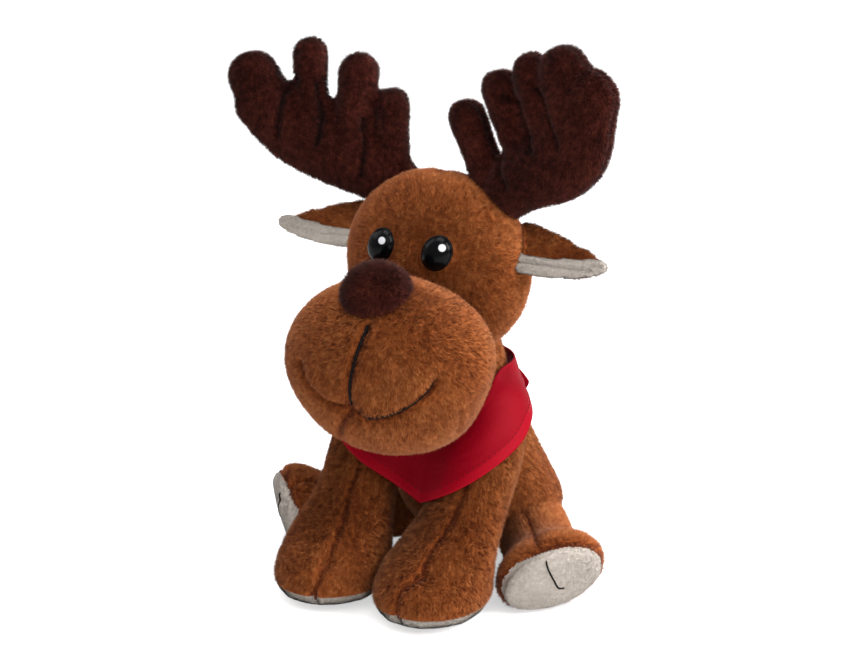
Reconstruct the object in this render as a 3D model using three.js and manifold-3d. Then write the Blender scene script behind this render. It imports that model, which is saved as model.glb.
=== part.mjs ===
// A seated plush deer with a round muzzle, padded antlers and a neckerchief.
// Millimetres, +Z up. The deer faces -Y, its left side is +X, and it sits on the plane Z = 0.
import * as THREE from 'three';
import { mergeVertices } from 'three/addons/utils/BufferGeometryUtils.js';
import Module from 'manifold-3d';

const wasm = await Module();
wasm.setup();

const deg = THREE.MathUtils.degToRad;

// Driving dimensions: fabric and clearances
const plushWall = 2.2;
const seamGap = 0.3;
const jointGap = 0.5;
const floorCut = 0.5;
const overrun = 300;

// Torso, from its seat to the middle of the neck
const torsoHeight = 93;
const torsoHalfWidth = 38;
const torsoHalfDepth = 34.5;
const torsoLean = 26;
const torsoSeatBack = 5;
const neckRadius = 20;
const pelletBagHeight = 16;

// Skull
const skullHalfWidth = 43;
const skullHalfDepth = 26;
const skullHalfHeight = 41;
const skullForward = 39;
const skullRise = 135;

// Muzzle
const muzzleHalfWidth = 47.5;
const muzzleHalfDepth = 36;
const muzzleHalfHeight = 37;
const muzzleForward = 77;
const muzzleRise = 101.5;

// Nose
const noseRadius = 14.3;
const noseForward = 87.5;
const noseRise = 134.5;
const noseSquashShare = 0.92;

// Eyes
const eyeSpacing = 26;
const eyeRise = 146.5;
const eyeHalfWidth = 6.4;
const eyeHalfHeight = 7.6;
const eyeDome = 3.6;
const eyeFlange = 0.9;
const eyeShankRadius = 2;
const eyeShankLength = 9;
const washerRadius = 6.5;
const washerThickness = 1.6;
const washerSink = 3;

// Antlers, measured from the middle of the base
const antlerBaseSpacing = 53;
const antlerForward = 33;
const antlerBaseRise = 164;
const antlerReach = 70;
const antlerRise = 64;
const antlerHalfThickness = 9;
const antlerPalmHalfWidth = 19;
const antlerTineRadius = 7.6;
const palmSlope = 60;
const antlerTurns = { left: 8, right: 16 };
const antlerLifts = { left: 20, right: 0 };
const antlerBulgeShares = { left: 0.45, right: 0 };

// Ears
const earSpacing = 74;
const earForward = 36;
const earRise = 146;
const earLength = 41.5;
const earHalfChord = 10.5;
const earHalfThickness = 3.4;
const earLiningThickness = 1.8;
const earDroop = 3;
const earLean = 34;

// Front legs
const frontLegHeight = 80;
const frontLegHalfWidth = 24.5;
const frontLegHalfDepth = 27;
const frontLegSpacing = 48;
const frontPawForward = 87;
const shoulderForwardShare = 0.48;
const shoulderRiseShare = 0.8;
const soleSeamRise = 5;
const toeTurns = { left: -4, right: 14 };

// Hind legs
const hindLegLengthLeft = 75.5;
const hindLegLengthRight = 69.5;
const hindFootHalfWidth = 23;
const hindFootHalfHeight = 17;
const hipSpacing = 44;
const hipBack = 0;
const hindLegSplay = { left: 36.5, right: 44 };
const hindFootRoll = 22;
const hindFootRise = 15;
const hindToeLean = 14;
const solePadDepth = 4;

// Tail
const tailLength = 17;
const tailHalfWidth = 9;
const tailHalfDepth = 6;
const tailRise = 24;
const tailTurn = 125;

// Neckerchief
const clothThickness = 1.2;
const clothClearance = 2;
const clothTopRise = 90;
const clothFrontTopRise = 70;
const clothTwist = 8;
const clothFoldDepth = 1.6;
const clothFolds = 5;
const knotRadius = 5;
const knotDepthShare = 0.8;
const knotHeightShare = 1.1;
const tieLength = 26;
const tieWidth = 9;
const tieThickness = 1.4;
const tieSpread = 40;
const tieBack = 25;

// Stitching thread
const threadRadius = 0.6;
const philtrumTopRise = 123;
const philtrumLean = 2.4;
const mouthRise = 88.3;
const mouthHalfWidth = 34.5;
const mouthLift = 15.5;
const toeStitchLength = 13;

// Joint limits, in degrees
const nodLimits = [-12, 2];
const frontSwingLimits = [-4, 2];
const hindLiftLimits = [-20, 0];
const hindLiftStops = [-13, -7];
const antlerLimits = [-8, 8];
const earLimits = [-15, 15];
const tailLimits = [-15, 15];

// Facet counts
const bodySides = 18;
const bodyRings = 10;
const limbSides = 14;
const limbRings = 8;
const innerSides = 9;
const innerRings = 5;
const legInnerRings = 8;
const domeRings = 3;
const tineSides = 8;
const smallSides = 8;
const tineRings = 2;
const palmRings = 5;
const philtrumSteps = 10;
const mouthSteps = 24;
const toeSteps = 6;
const clothColumns = 40;
const clothRows = 5;
const clothPasses = 4;
const clothSearchSteps = 4;

const sides = { left: 1, right: -1 };
const xAxis = new THREE.Vector3(1, 0, 0);
const yAxis = new THREE.Vector3(0, 1, 0);
const zAxis = new THREE.Vector3(0, 0, 1);

// Materials
const fabric = (color) => new THREE.MeshStandardMaterial({ color, roughness: 0.95, metalness: 0 });
const brownPlush = () => fabric(0x8a4f26);
const darkPlush = () => fabric(0x4a2018);
const creamFelt = () => fabric(0xcdc5bd);
const redCloth = () => fabric(0xa00018);
const filling = () => fabric(0xf2f0ea);
const thread = () => fabric(0x17120f);
const blackPlastic = () => new THREE.MeshStandardMaterial({ color: 0x0c0c10, roughness: 0.12, metalness: 0 });
const whitePlastic = () => new THREE.MeshStandardMaterial({ color: 0xe8e6e0, roughness: 0.45, metalness: 0 });

const smooth = (from, to, value) => THREE.MathUtils.smoothstep(value, from, to);

const part = new THREE.Group();

// Shared corners become one, so that a closed geometry can be cut and joined as a solid.
function mergedPositions(geometry) {
  const bare = geometry.clone();
  bare.deleteAttribute('normal');
  bare.deleteAttribute('uv');
  return mergeVertices(bare, 1e-5);
}

function solidOf(geometry) {
  const merged = mergedPositions(geometry);
  return new wasm.Manifold(new wasm.Mesh({
    numProp: 3,
    vertProperties: new Float32Array(merged.attributes.position.array),
    triVerts: new Uint32Array(merged.index.array),
  }));
}

function geometryOf(solid) {
  const mesh = solid.getMesh();
  const geometry = new THREE.BufferGeometry();
  geometry.setAttribute('position', new THREE.BufferAttribute(new Float32Array(mesh.vertProperties), 3));
  geometry.setIndex(new THREE.BufferAttribute(new Uint32Array(mesh.triVerts), 1));
  return geometry;
}

function addPiece(name, solid, material, pivot = new THREE.Vector3()) {
  const geometry = geometryOf(solid);
  geometry.translate(-pivot.x, -pivot.y, -pivot.z);
  geometry.computeVertexNormals();
  const mesh = new THREE.Mesh(geometry, material);
  mesh.name = name;
  mesh.position.copy(pivot);
  part.add(mesh);
}

const joined = (solids) => solids.reduce((whole, solid) => whole.add(solid));
const without = (solid, cutters) => cutters.reduce((rest, cutter) => rest.subtract(cutter), solid);

// A smooth value between rows of a table, whose first column rises.
function valueAt(rows, column, at) {
  const last = rows.length - 1;
  let i = 0;
  while (i < last - 1 && rows[i + 1][0] < at) i += 1;
  const slope = (k) => {
    const before = rows[Math.max(k - 1, 0)];
    const after = rows[Math.min(k + 1, last)];
    return (after[column] - before[column]) / (after[0] - before[0]);
  };
  const span = rows[i + 1][0] - rows[i][0];
  const t = THREE.MathUtils.clamp((at - rows[i][0]) / span, 0, 1);
  const a = rows[i][column];
  const b = rows[i + 1][column];
  const rise = 3 * t * t - 2 * t * t * t;
  const leave = t * (1 - t) * (1 - t) * span * slope(i);
  const arrive = t * t * (1 - t) * span * slope(i + 1);
  return a + (b - a) * rise + leave - arrive;
}

// The oval section of a stuffed form at a share of its height.
// Its table has the columns height, sideways, forward, half width and half depth, as shares of the form's sizes.
function sectionAt(form, share) {
  const value = (column) => valueAt(form.shares, column, share);
  return {
    x: form.spread * value(1),
    y: -form.lean * value(2),
    z: form.height * share,
    halfWidth: form.halfWidth * value(3),
    halfDepth: form.halfDepth * value(4),
  };
}

// A closed skin round a stuffed form: ovals up its height and a round dome at each end.
function stuffed(form, grow = 0, around = limbSides, rings = limbRings) {
  const ovals = [];
  const dome = (share, reach, sign) => {
    const end = sectionAt(form, share);
    for (let k = 1; k < domeRings; k += 1) {
      const angle = (k / domeRings) * Math.PI / 2;
      ovals.push({
        ...end,
        z: end.z + sign * (reach + grow) * Math.sin(angle),
        halfWidth: (end.halfWidth + grow) * Math.cos(angle) - grow,
        halfDepth: (end.halfDepth + grow) * Math.cos(angle) - grow,
      });
    }
    return new THREE.Vector3(end.x, end.y, end.z + sign * (reach + grow));
  };
  const firstShare = form.shares[0][0];
  const lastShare = form.shares[form.shares.length - 1][0];
  const lowDome = form.lowDome ?? form.height * firstShare + floorCut;
  const foot = dome(firstShare, lowDome, -1);
  ovals.reverse();
  for (let k = 0; k <= rings; k += 1) {
    ovals.push(sectionAt(form, THREE.MathUtils.lerp(firstShare, lastShare, k / rings)));
  }
  const head = dome(lastShare, form.highDome, 1);
  const points = [foot];
  const lean = Math.tan(deg(form.endLean ?? 0));
  for (const oval of ovals) {
    for (let k = 0; k < around; k += 1) {
      const angle = (k / around) * 2 * Math.PI;
      const across = (oval.halfDepth + grow) * Math.sin(angle);
      points.push(new THREE.Vector3(
        oval.x + (oval.halfWidth + grow) * Math.cos(angle),
        oval.y + across,
        oval.z - lean * across * Math.max(oval.z / form.height, 0),
      ));
    }
  }
  points.push(head);
  const faces = [];
  const at = (ring, k) => 1 + ring * around + (k % around);
  for (let k = 0; k < around; k += 1) {
    faces.push(0, at(0, k + 1), at(0, k));
    faces.push(points.length - 1, at(ovals.length - 1, k), at(ovals.length - 1, k + 1));
    for (let ring = 0; ring < ovals.length - 1; ring += 1) {
      faces.push(at(ring, k), at(ring, k + 1), at(ring + 1, k + 1));
      faces.push(at(ring, k), at(ring + 1, k + 1), at(ring + 1, k));
    }
  }
  const geometry = new THREE.BufferGeometry().setFromPoints(points);
  geometry.setIndex(faces);
  if (form.place) geometry.applyMatrix4(form.place);
  return geometry;
}

// A ball stretched to three half sizes.
function ball(centre, halfSizes, grow = 0, around = bodySides, rings = bodyRings) {
  const geometry = new THREE.SphereGeometry(1, around, rings);
  geometry.rotateX(Math.PI / 2);
  geometry.scale(halfSizes.x + grow, halfSizes.y + grow, halfSizes.z + grow);
  geometry.translate(centre.x, centre.y, centre.z);
  return geometry;
}

function turnedAbout(geometry, pivot, axis, degrees) {
  const turned = geometry.clone();
  turned.translate(-pivot.x, -pivot.y, -pivot.z);
  turned.applyMatrix4(new THREE.Matrix4().makeRotationAxis(axis, deg(degrees)));
  turned.translate(pivot.x, pivot.y, pivot.z);
  return turned;
}

// The room that a fixed neighbour takes, seen from a piece that turns between its limits.
function sweptBy(geometry, pivot, axis, limits) {
  const angles = [...limits, 0].filter((angle, i, all) => all.indexOf(angle) === i);
  return joined(angles.map((angle) => solidOf(turnedAbout(geometry, pivot, axis, -angle))));
}

// A block that fills one side of a plane through a point.
function halfSpace(point, normal) {
  const block = new THREE.BoxGeometry(overrun, overrun, overrun);
  block.translate(0, 0, overrun / 2);
  const turn = new THREE.Quaternion().setFromUnitVectors(zAxis, normal.clone().normalize());
  block.applyQuaternion(turn);
  block.translate(point.x, point.y, point.z);
  return solidOf(block);
}

const belowFloor = halfSpace(new THREE.Vector3(), new THREE.Vector3(0, 0, -1));

// Torso form
const torsoForm = {
  height: torsoHeight,
  spread: 0,
  lean: torsoLean,
  halfWidth: torsoHalfWidth,
  halfDepth: torsoHalfDepth,
  highDome: neckRadius,
  shares: [
    [0.09, 0, 0.05, 0.84, 0.84],
    [0.2, 0, 0.16, 1, 1],
    [0.37, 0, 0.5, 0.97, 0.97],
    [0.55, 0, 0.78, 0.86, 0.88],
    [0.72, 0, 0.92, 0.73, 0.77],
    [0.86, 0, 0.98, 0.62, 0.67],
    [1, 0, 1, neckRadius / torsoHalfWidth, neckRadius / torsoHalfDepth],
  ],
  place: new THREE.Matrix4().makeTranslation(0, torsoSeatBack, 0),
};
const neck = new THREE.Vector3(0, torsoSeatBack - torsoLean, torsoHeight);
const torsoGeometry = (grow) => stuffed(torsoForm, grow, bodySides, bodyRings);

// Skull and muzzle forms
const skullCentre = new THREE.Vector3(0, -skullForward, skullRise);
const skullHalves = new THREE.Vector3(skullHalfWidth, skullHalfDepth, skullHalfHeight);
const muzzleCentre = new THREE.Vector3(0, -muzzleForward, muzzleRise);
const muzzleHalves = new THREE.Vector3(muzzleHalfWidth, muzzleHalfDepth, muzzleHalfHeight);
const skullGeometry = (grow, around, rings) => ball(skullCentre, skullHalves, grow, around, rings);
const muzzleGeometry = (grow, around, rings) => ball(muzzleCentre, muzzleHalves, grow, around, rings);

function addTorso() {
  const inner = solidOf(stuffed(torsoForm, -plushWall, innerSides, innerRings));
  const throat = solidOf(skullGeometry(-plushWall, innerSides, innerRings));
  const outer = without(solidOf(torsoGeometry(0)), [belowFloor]);
  addPiece('torso_skin', without(outer, [inner, throat]), brownPlush());
  const bagTop = new THREE.Vector3(0, 0, pelletBagHeight);
  const stuffing = solidOf(stuffed(torsoForm, -plushWall - seamGap, innerSides, innerRings));
  const aboveBag = halfSpace(bagTop, zAxis);
  const belowBag = halfSpace(bagTop.clone().add(new THREE.Vector3(0, 0, seamGap)), zAxis.clone().negate());
  addPiece('pellet_bag', without(stuffing, [aboveBag]), creamFelt());
  const neckTop = solidOf(skullGeometry(0, bodySides, bodyRings));
  addPiece('torso_filling', without(stuffing, [belowBag, neckTop]), filling());
}

function addHead() {
  const neckBall = new THREE.Vector3(neckRadius, neckRadius, neckRadius);
  const neckRoom = solidOf(ball(neck, neckBall, jointGap));
  const torsoRoom = sweptBy(torsoGeometry(jointGap), neck, xAxis, nodLimits);
  const skullInner = solidOf(skullGeometry(-plushWall, innerSides, innerRings));
  const muzzleInner = solidOf(muzzleGeometry(-plushWall, innerSides, innerRings));
  const shanks = Object.values(sides).map((side) => eyeRod(eyeShankRadius + seamGap, -eyeShankLength, overrun, side));
  const skull = without(solidOf(skullGeometry(0)), [skullInner, muzzleInner, neckRoom, torsoRoom, ...shanks]);
  addPiece('head_skin', skull, brownPlush(), neck);
  const skullRoom = solidOf(skullGeometry(seamGap));
  const muzzle = without(solidOf(muzzleGeometry(0)), [muzzleInner, skullRoom, neckRoom, torsoRoom]);
  addPiece('muzzle_skin', muzzle, brownPlush(), neck);
  const loose = -plushWall - seamGap;
  const stuffing = joined([
    solidOf(skullGeometry(loose, innerSides, innerRings)),
    solidOf(muzzleGeometry(loose, innerSides, innerRings)),
  ]);
  addPiece('head_filling', without(stuffing, [neckRoom, torsoRoom, ...eyeRooms()]), filling(), neck);
}

// An eye's frame: where its flange meets the skull, with the outward normal as its Z axis.
function eyeFrame(side) {
  const x = side * eyeSpacing / 2;
  const z = eyeRise - skullRise;
  const flatness = 1 - (x / skullHalfWidth) ** 2 - (z / skullHalfHeight) ** 2;
  const y = -skullHalfDepth * Math.sqrt(flatness);
  const normal = new THREE.Vector3(x / skullHalfWidth ** 2, y / skullHalfDepth ** 2, z / skullHalfHeight ** 2);
  normal.normalize();
  const across = new THREE.Vector3().crossVectors(normal, zAxis).negate().normalize();
  const up = new THREE.Vector3().crossVectors(normal, across);
  const place = new THREE.Matrix4().makeBasis(across, up, normal);
  place.setPosition(skullCentre.clone().add(new THREE.Vector3(x, y, z)));
  return place;
}

function eyeRod(radius, from, to, side, sidesAround = innerSides) {
  const rod = new THREE.CylinderGeometry(radius, radius, to - from, sidesAround);
  rod.rotateX(Math.PI / 2);
  rod.translate(0, 0, (from + to) / 2);
  rod.applyMatrix4(eyeFrame(side));
  return solidOf(rod);
}

// A washer's top, measured from the skull's outside along the shank.
const washerTop = -plushWall - washerSink;

function eyeRooms() {
  return Object.values(sides).flatMap((side) => [
    eyeRod(eyeShankRadius + seamGap, -eyeShankLength - seamGap, 0, side),
    eyeRod(washerRadius + seamGap, washerTop - washerThickness - seamGap, 0, side),
  ]);
}

// Nose
const noseCentre = new THREE.Vector3(0, -noseForward, noseRise);
const noseHalves = new THREE.Vector3(noseRadius, noseRadius, noseRadius * noseSquashShare);

function addNose() {
  const rooms = [solidOf(muzzleGeometry(seamGap)), solidOf(skullGeometry(seamGap))];
  const inner = solidOf(ball(noseCentre, noseHalves, -plushWall, innerSides, innerRings));
  addPiece('nose_skin', without(solidOf(ball(noseCentre, noseHalves, 0, limbSides)), [inner, ...rooms]), darkPlush(), neck);
  const stuffing = solidOf(ball(noseCentre, noseHalves, -plushWall - seamGap, innerSides, innerRings));
  addPiece('nose_filling', without(stuffing, rooms), filling(), neck);
}

// A plastic eye is an oval dome on a flange, with a shank that passes through the skin into a washer.
function eyeSolid(side) {
  const dome = new THREE.SphereGeometry(1, limbSides, limbRings);
  dome.scale(eyeHalfWidth, eyeHalfHeight, eyeDome);
  dome.translate(0, 0, seamGap + eyeFlange);
  dome.applyMatrix4(eyeFrame(side));
  const cut = new THREE.Vector3(0, 0, seamGap).applyMatrix4(eyeFrame(side));
  const inward = new THREE.Vector3(0, 0, -1).transformDirection(eyeFrame(side));
  const bead = without(solidOf(dome), [halfSpace(cut, inward)]);
  return bead.add(eyeRod(eyeShankRadius, -eyeShankLength, seamGap + eyeFlange, side));
}

function addEyes() {
  for (const [name, side] of Object.entries(sides)) {
    addPiece(`eye_${name}`, eyeSolid(side), blackPlastic(), neck);
    const disc = eyeRod(washerRadius, washerTop - washerThickness, washerTop, side);
    const hole = eyeRod(eyeShankRadius + seamGap / 2, -overrun / 2, overrun / 2, side);
    addPiece(`eye_washer_${name}`, disc.subtract(hole), whitePlastic(), neck);
  }
}

// Thread drawn along a line of stitches on the front of the muzzle.
function muzzlePoint(x, z, lift) {
  const across = x / (muzzleHalfWidth + lift);
  const rise = (z - muzzleRise) / (muzzleHalfHeight + lift);
  const y = -Math.sqrt(1 - across ** 2 - rise ** 2) * (muzzleHalfDepth + lift);
  return new THREE.Vector3(x, muzzleCentre.y + y, z);
}

function threadGeometry(points, steps) {
  const curve = new THREE.CatmullRomCurve3(points);
  const section = new THREE.Shape().absarc(0, 0, threadRadius, 0, 2 * Math.PI);
  const settings = { extrudePath: curve, steps, bevelEnabled: false, curveSegments: 3 };
  return mergedPositions(new THREE.ExtrudeGeometry(section, settings));
}

const threadAlong = (points, steps) => solidOf(threadGeometry(points, steps));

function addMouth() {
  const lift = seamGap + threadRadius;
  const philtrum = [0, 0.25, 0.5, 0.75, 1].map((share) => {
    const rise = THREE.MathUtils.lerp(philtrumTopRise, mouthRise + threadRadius + lift, share);
    return muzzlePoint(philtrumLean * (1 - share), rise, lift);
  });
  addPiece('philtrum_thread', threadAlong(philtrum, philtrumSteps), thread(), neck);
  const smile = [-1, -0.75, -0.5, -0.25, 0, 0.25, 0.5, 0.75, 1].map((share) => {
    return muzzlePoint(share * mouthHalfWidth, mouthRise + mouthLift * share ** 2, lift);
  });
  addPiece('mouth_thread', threadAlong(smile, mouthSteps), thread(), neck);
}

// Antlers, drawn flat with X outward and Z up from the base.
// Each tine runs from a root to a tip, as shares of the antler's reach and rise, with a radius share.
const tineShares = {
  left: [
    [-0.05, 0.1, -0.1, 0.57, 1.05],
    [0.22, 0.4, 0.21, 0.7, 1.1],
    [0.44, 0.45, 0.465, 0.745, 1.05],
    [0.62, 0.38, 0.69, 0.68, 1.4],
  ],
  right: [
    [-0.03, 0.1, -0.03, 0.54, 0.98],
    [0.23, 0.4, 0.18, 0.74, 1.18],
    [0.49, 0.5, 0.5, 0.855, 1],
    [0.74, 0.48, 0.85, 0.665, 1.55],
  ],
};
const palmForm = (bulgeShare) => ({
  rings: palmRings,
  height: antlerReach,
  spread: antlerPalmHalfWidth,
  lean: 0,
  halfWidth: antlerPalmHalfWidth,
  halfDepth: antlerHalfThickness,
  lowDome: antlerPalmHalfWidth / 2,
  highDome: antlerPalmHalfWidth / 2,
  shares: [
    [-0.08, -0.06, 0, 0.6, 0.9],
    [0.12, -0.1 + bulgeShare / 4, 0, 0.76, 0.95],
    [0.4, -0.08 + bulgeShare, 0, 0.95, 1],
    [0.68, bulgeShare, 0, 0.93, 1],
    [0.95, 0.02 + bulgeShare / 4, 0, 0.66, 0.95],
  ],
  place: new THREE.Matrix4().makeRotationY(deg(palmSlope)),
});

function tineForm([rootReach, rootRise, tipReach, tipRise, radiusShare]) {
  const root = new THREE.Vector3(rootReach * antlerReach, 0, rootRise * antlerRise);
  const tip = new THREE.Vector3(tipReach * antlerReach, 0, tipRise * antlerRise);
  const radius = radiusShare * antlerTineRadius;
  const turn = new THREE.Quaternion().setFromUnitVectors(zAxis, tip.clone().sub(root).normalize());
  return {
    rings: tineRings,
    height: root.distanceTo(tip),
    spread: 0,
    lean: 0,
    halfWidth: radius,
    halfDepth: Math.min(radius, antlerHalfThickness),
    lowDome: radius,
    highDome: radius,
    shares: [[0, 0, 0, 1, 1], [0.5, 0, 0, 0.93, 0.93], [1, 0, 0, 1, 1]],
    place: new THREE.Matrix4().makeRotationFromQuaternion(turn).setPosition(root),
  };
}

function mirroredX(geometry) {
  const mirror = geometry.clone();
  mirror.scale(-1, 1, 1);
  const index = mirror.index.array;
  for (let i = 0; i < index.length; i += 3) [index[i], index[i + 1]] = [index[i + 1], index[i]];
  return mirror;
}

// Turns a shape drawn for the left side, with its base at the origin, into place on either side.
function placed(geometry, side, lift, turn, base) {
  const left = geometry.clone();
  left.rotateY(deg(-lift));
  left.rotateZ(deg(-turn));
  const turned = side > 0 ? left : mirroredX(left);
  turned.translate(side * base.x, base.y, base.z);
  return turned;
}

function addAntlers() {
  const base = new THREE.Vector3(antlerBaseSpacing / 2, -antlerForward, antlerBaseRise);
  for (const [name, side] of Object.entries(sides)) {
    const forms = [palmForm(antlerBulgeShares[name]), ...tineShares[name].map(tineForm)];
    const antler = (grow, around) => joined(forms.map((form) => {
      const geometry = stuffed(form, grow, around, form.rings);
      return solidOf(placed(geometry, side, antlerLifts[name], antlerTurns[name], base));
    }));
    const root = new THREE.Vector3(side * base.x, base.y, base.z);
    const room = sweptBy(skullGeometry(jointGap), root, yAxis, antlerLimits);
    const skin = without(antler(0, tineSides), [antler(-plushWall, smallSides), room]);
    addPiece(`antler_${name}_skin`, skin, darkPlush(), root);
    const fillingRoom = sweptBy(skullGeometry(jointGap + plushWall), root, yAxis, antlerLimits);
    addPiece(`antler_${name}_filling`, antler(-plushWall - seamGap, smallSides).subtract(fillingRoom), filling(), root);
  }
}

// Ears, drawn with the tip along Z, the chord along X and the back towards +Y.
const earForm = {
  height: earLength,
  spread: earHalfChord,
  lean: 0,
  halfWidth: earHalfChord,
  halfDepth: earHalfThickness,
  lowDome: earHalfThickness,
  highDome: earHalfThickness,
  shares: [
    [-0.12, 0, 0, 1.12, 1.4],
    [0.2, 0.04, 0, 1.08, 1.25],
    [0.5, 0.14, 0, 0.88, 1],
    [0.8, 0.2, 0, 0.56, 0.8],
    [0.93, 0.2, 0, 0.3, 0.6],
  ],
};
const liningForm = {
  ...earForm,
  spread: earHalfChord,
  halfDepth: earLiningThickness / 2,
  lowDome: 0,
  highDome: earLiningThickness,
  shares: [
    [0.04, 0.72, 0, 0.36, 1],
    [0.3, 0.7, 0, 0.38, 1],
    [0.6, 0.56, 0, 0.38, 1],
    [0.85, 0.34, 0, 0.34, 1],
    [0.94, 0.26, 0, 0.22, 1],
  ],
};

function addEars() {
  const base = new THREE.Vector3(earSpacing / 2, -earForward, earRise);
  for (const [name, side] of Object.entries(sides)) {
    const ear = (form, grow, forward) => {
      const geometry = stuffed(form, grow, innerSides, innerRings);
      geometry.translate(0, -forward, 0);
      geometry.rotateY(deg(90));
      geometry.rotateX(deg(-earLean));
      return placed(geometry, side, -earDroop, 0, base);
    };
    const root = new THREE.Vector3(side * base.x, base.y, base.z);
    const room = sweptBy(skullGeometry(jointGap), root, yAxis, earLimits);
    const back = solidOf(ear(earForm, 0, 0)).subtract(room);
    const backRoom = solidOf(ear(earForm, seamGap, 0));
    const lining = without(solidOf(ear(liningForm, 0, earHalfThickness)), [backRoom, room]);
    addPiece(`ear_${name}_back`, back, brownPlush(), root);
    addPiece(`ear_${name}_lining`, lining, creamFelt(), root);
  }
}

// Front legs, each with a flat sole sewn under the paw
function frontLegForm(side) {
  return {
    height: frontLegHeight,
    spread: side * frontLegSpacing / 2,
    lean: frontPawForward,
    halfWidth: frontLegHalfWidth,
    halfDepth: frontLegHalfDepth,
    highDome: frontLegHalfWidth / 2,
    shares: [
      [0.06, 1, 1, 0.98, 0.98],
      [0.14, 1, 0.98, 1, 0.99],
      [0.25, 1.01, 0.94, 0.95, 0.92],
      [0.37, 1.06, 0.83, 0.83, 0.8],
      [0.5, 1.1, 0.7, 0.72, 0.66],
      [0.66, 1.12, 0.6, 0.71, 0.65],
      [0.82, 1.08, 0.51, 0.7, 0.64],
      [0.95, 1, 0.43, 0.55, 0.52],
    ],
  };
}
const shoulder = new THREE.Vector3(0, -frontPawForward * shoulderForwardShare, frontLegHeight * shoulderRiseShare);

// The torso's room for a turning limb, and the same room grown by the limb's wall and by its filling's gap.
function torsoRooms(pivot, limits) {
  const grown = [0, plushWall, plushWall + seamGap];
  return grown.map((extra) => sweptBy(torsoGeometry(jointGap + extra), pivot, xAxis, limits));
}

function addFrontLegs() {
  const [torsoRoom, wallRoom, fillingRoom] = torsoRooms(shoulder, frontSwingLimits);
  for (const [name, side] of Object.entries(sides)) {
    const form = frontLegForm(side);
    const root = new THREE.Vector3(form.spread, shoulder.y, shoulder.z);
    const acrossMiddle = halfSpace(new THREE.Vector3(side * jointGap / 2, 0, 0), new THREE.Vector3(-side, 0, 0));
    const outer = without(solidOf(stuffed(form)), [belowFloor, torsoRoom, acrossMiddle]);
    const inner = solidOf(stuffed(form, -plushWall, innerSides, legInnerRings)).subtract(wallRoom);
    const shell = outer.subtract(inner);
    const seamBelow = halfSpace(new THREE.Vector3(0, 0, soleSeamRise), zAxis.clone().negate());
    const seamAbove = halfSpace(new THREE.Vector3(0, 0, soleSeamRise - seamGap), zAxis);
    addPiece(`front_leg_${name}_skin`, shell.subtract(seamBelow), brownPlush(), root);
    addPiece(`front_leg_${name}_sole`, shell.subtract(seamAbove), creamFelt(), root);
    const stuffing = solidOf(stuffed(form, -plushWall - seamGap, innerSides, legInnerRings));
    addPiece(`front_leg_${name}_filling`, stuffing.subtract(fillingRoom), filling(), root);
    const turn = deg(toeTurns[name]);
    const clear = threadRadius + seamGap;
    const toe = [0, 0.5, 1].map((share) => {
      const rise = soleSeamRise + clear + toeStitchLength * share;
      const oval = sectionAt(form, rise / form.height);
      const x = oval.x + (oval.halfWidth + clear) * Math.sin(turn);
      return new THREE.Vector3(x, oval.y - (oval.halfDepth + clear) * Math.cos(turn), rise);
    });
    addPiece(`toe_stitch_front_${name}`, threadAlong(toe, toeSteps), thread(), root);
  }
}

// Hind legs, drawn with the sole along Z, the foot's width along X and its top towards -Y
const hindLegForm = (name) => ({
  height: name === 'left' ? hindLegLengthLeft : hindLegLengthRight,
  spread: 0,
  lean: hindFootHalfHeight,
  halfWidth: hindFootHalfWidth,
  halfDepth: hindFootHalfHeight,
  lowDome: hindFootHalfHeight / 2,
  highDome: solePadDepth,
  endLean: hindToeLean,
  shares: [
    [-0.1, 0, 0, 0.66, 0.9],
    [0.25, 0, -0.1, 0.68, 0.78],
    [0.5, 0, -0.16, 0.68, 0.74],
    [0.7, 0, -0.08, 0.8, 0.84],
    [0.87, 0, 0.06, 1, 1],
    [1, 0, 0, 0.98, 0.8],
  ],
});

// A point just clear of the hind sole, from shares of the foot's half width and half height.
function hindSolePoint(form, acrossShare, riseShare) {
  const end = sectionAt(form, 1);
  const bulge = Math.sqrt(1 - acrossShare ** 2 - riseShare ** 2) * solePadDepth;
  const rise = riseShare * end.halfDepth;
  const lean = Math.tan(deg(hindToeLean)) * rise;
  return new THREE.Vector3(acrossShare * end.halfWidth, end.y - rise, end.z + lean + bulge + seamGap + threadRadius);
}

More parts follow.
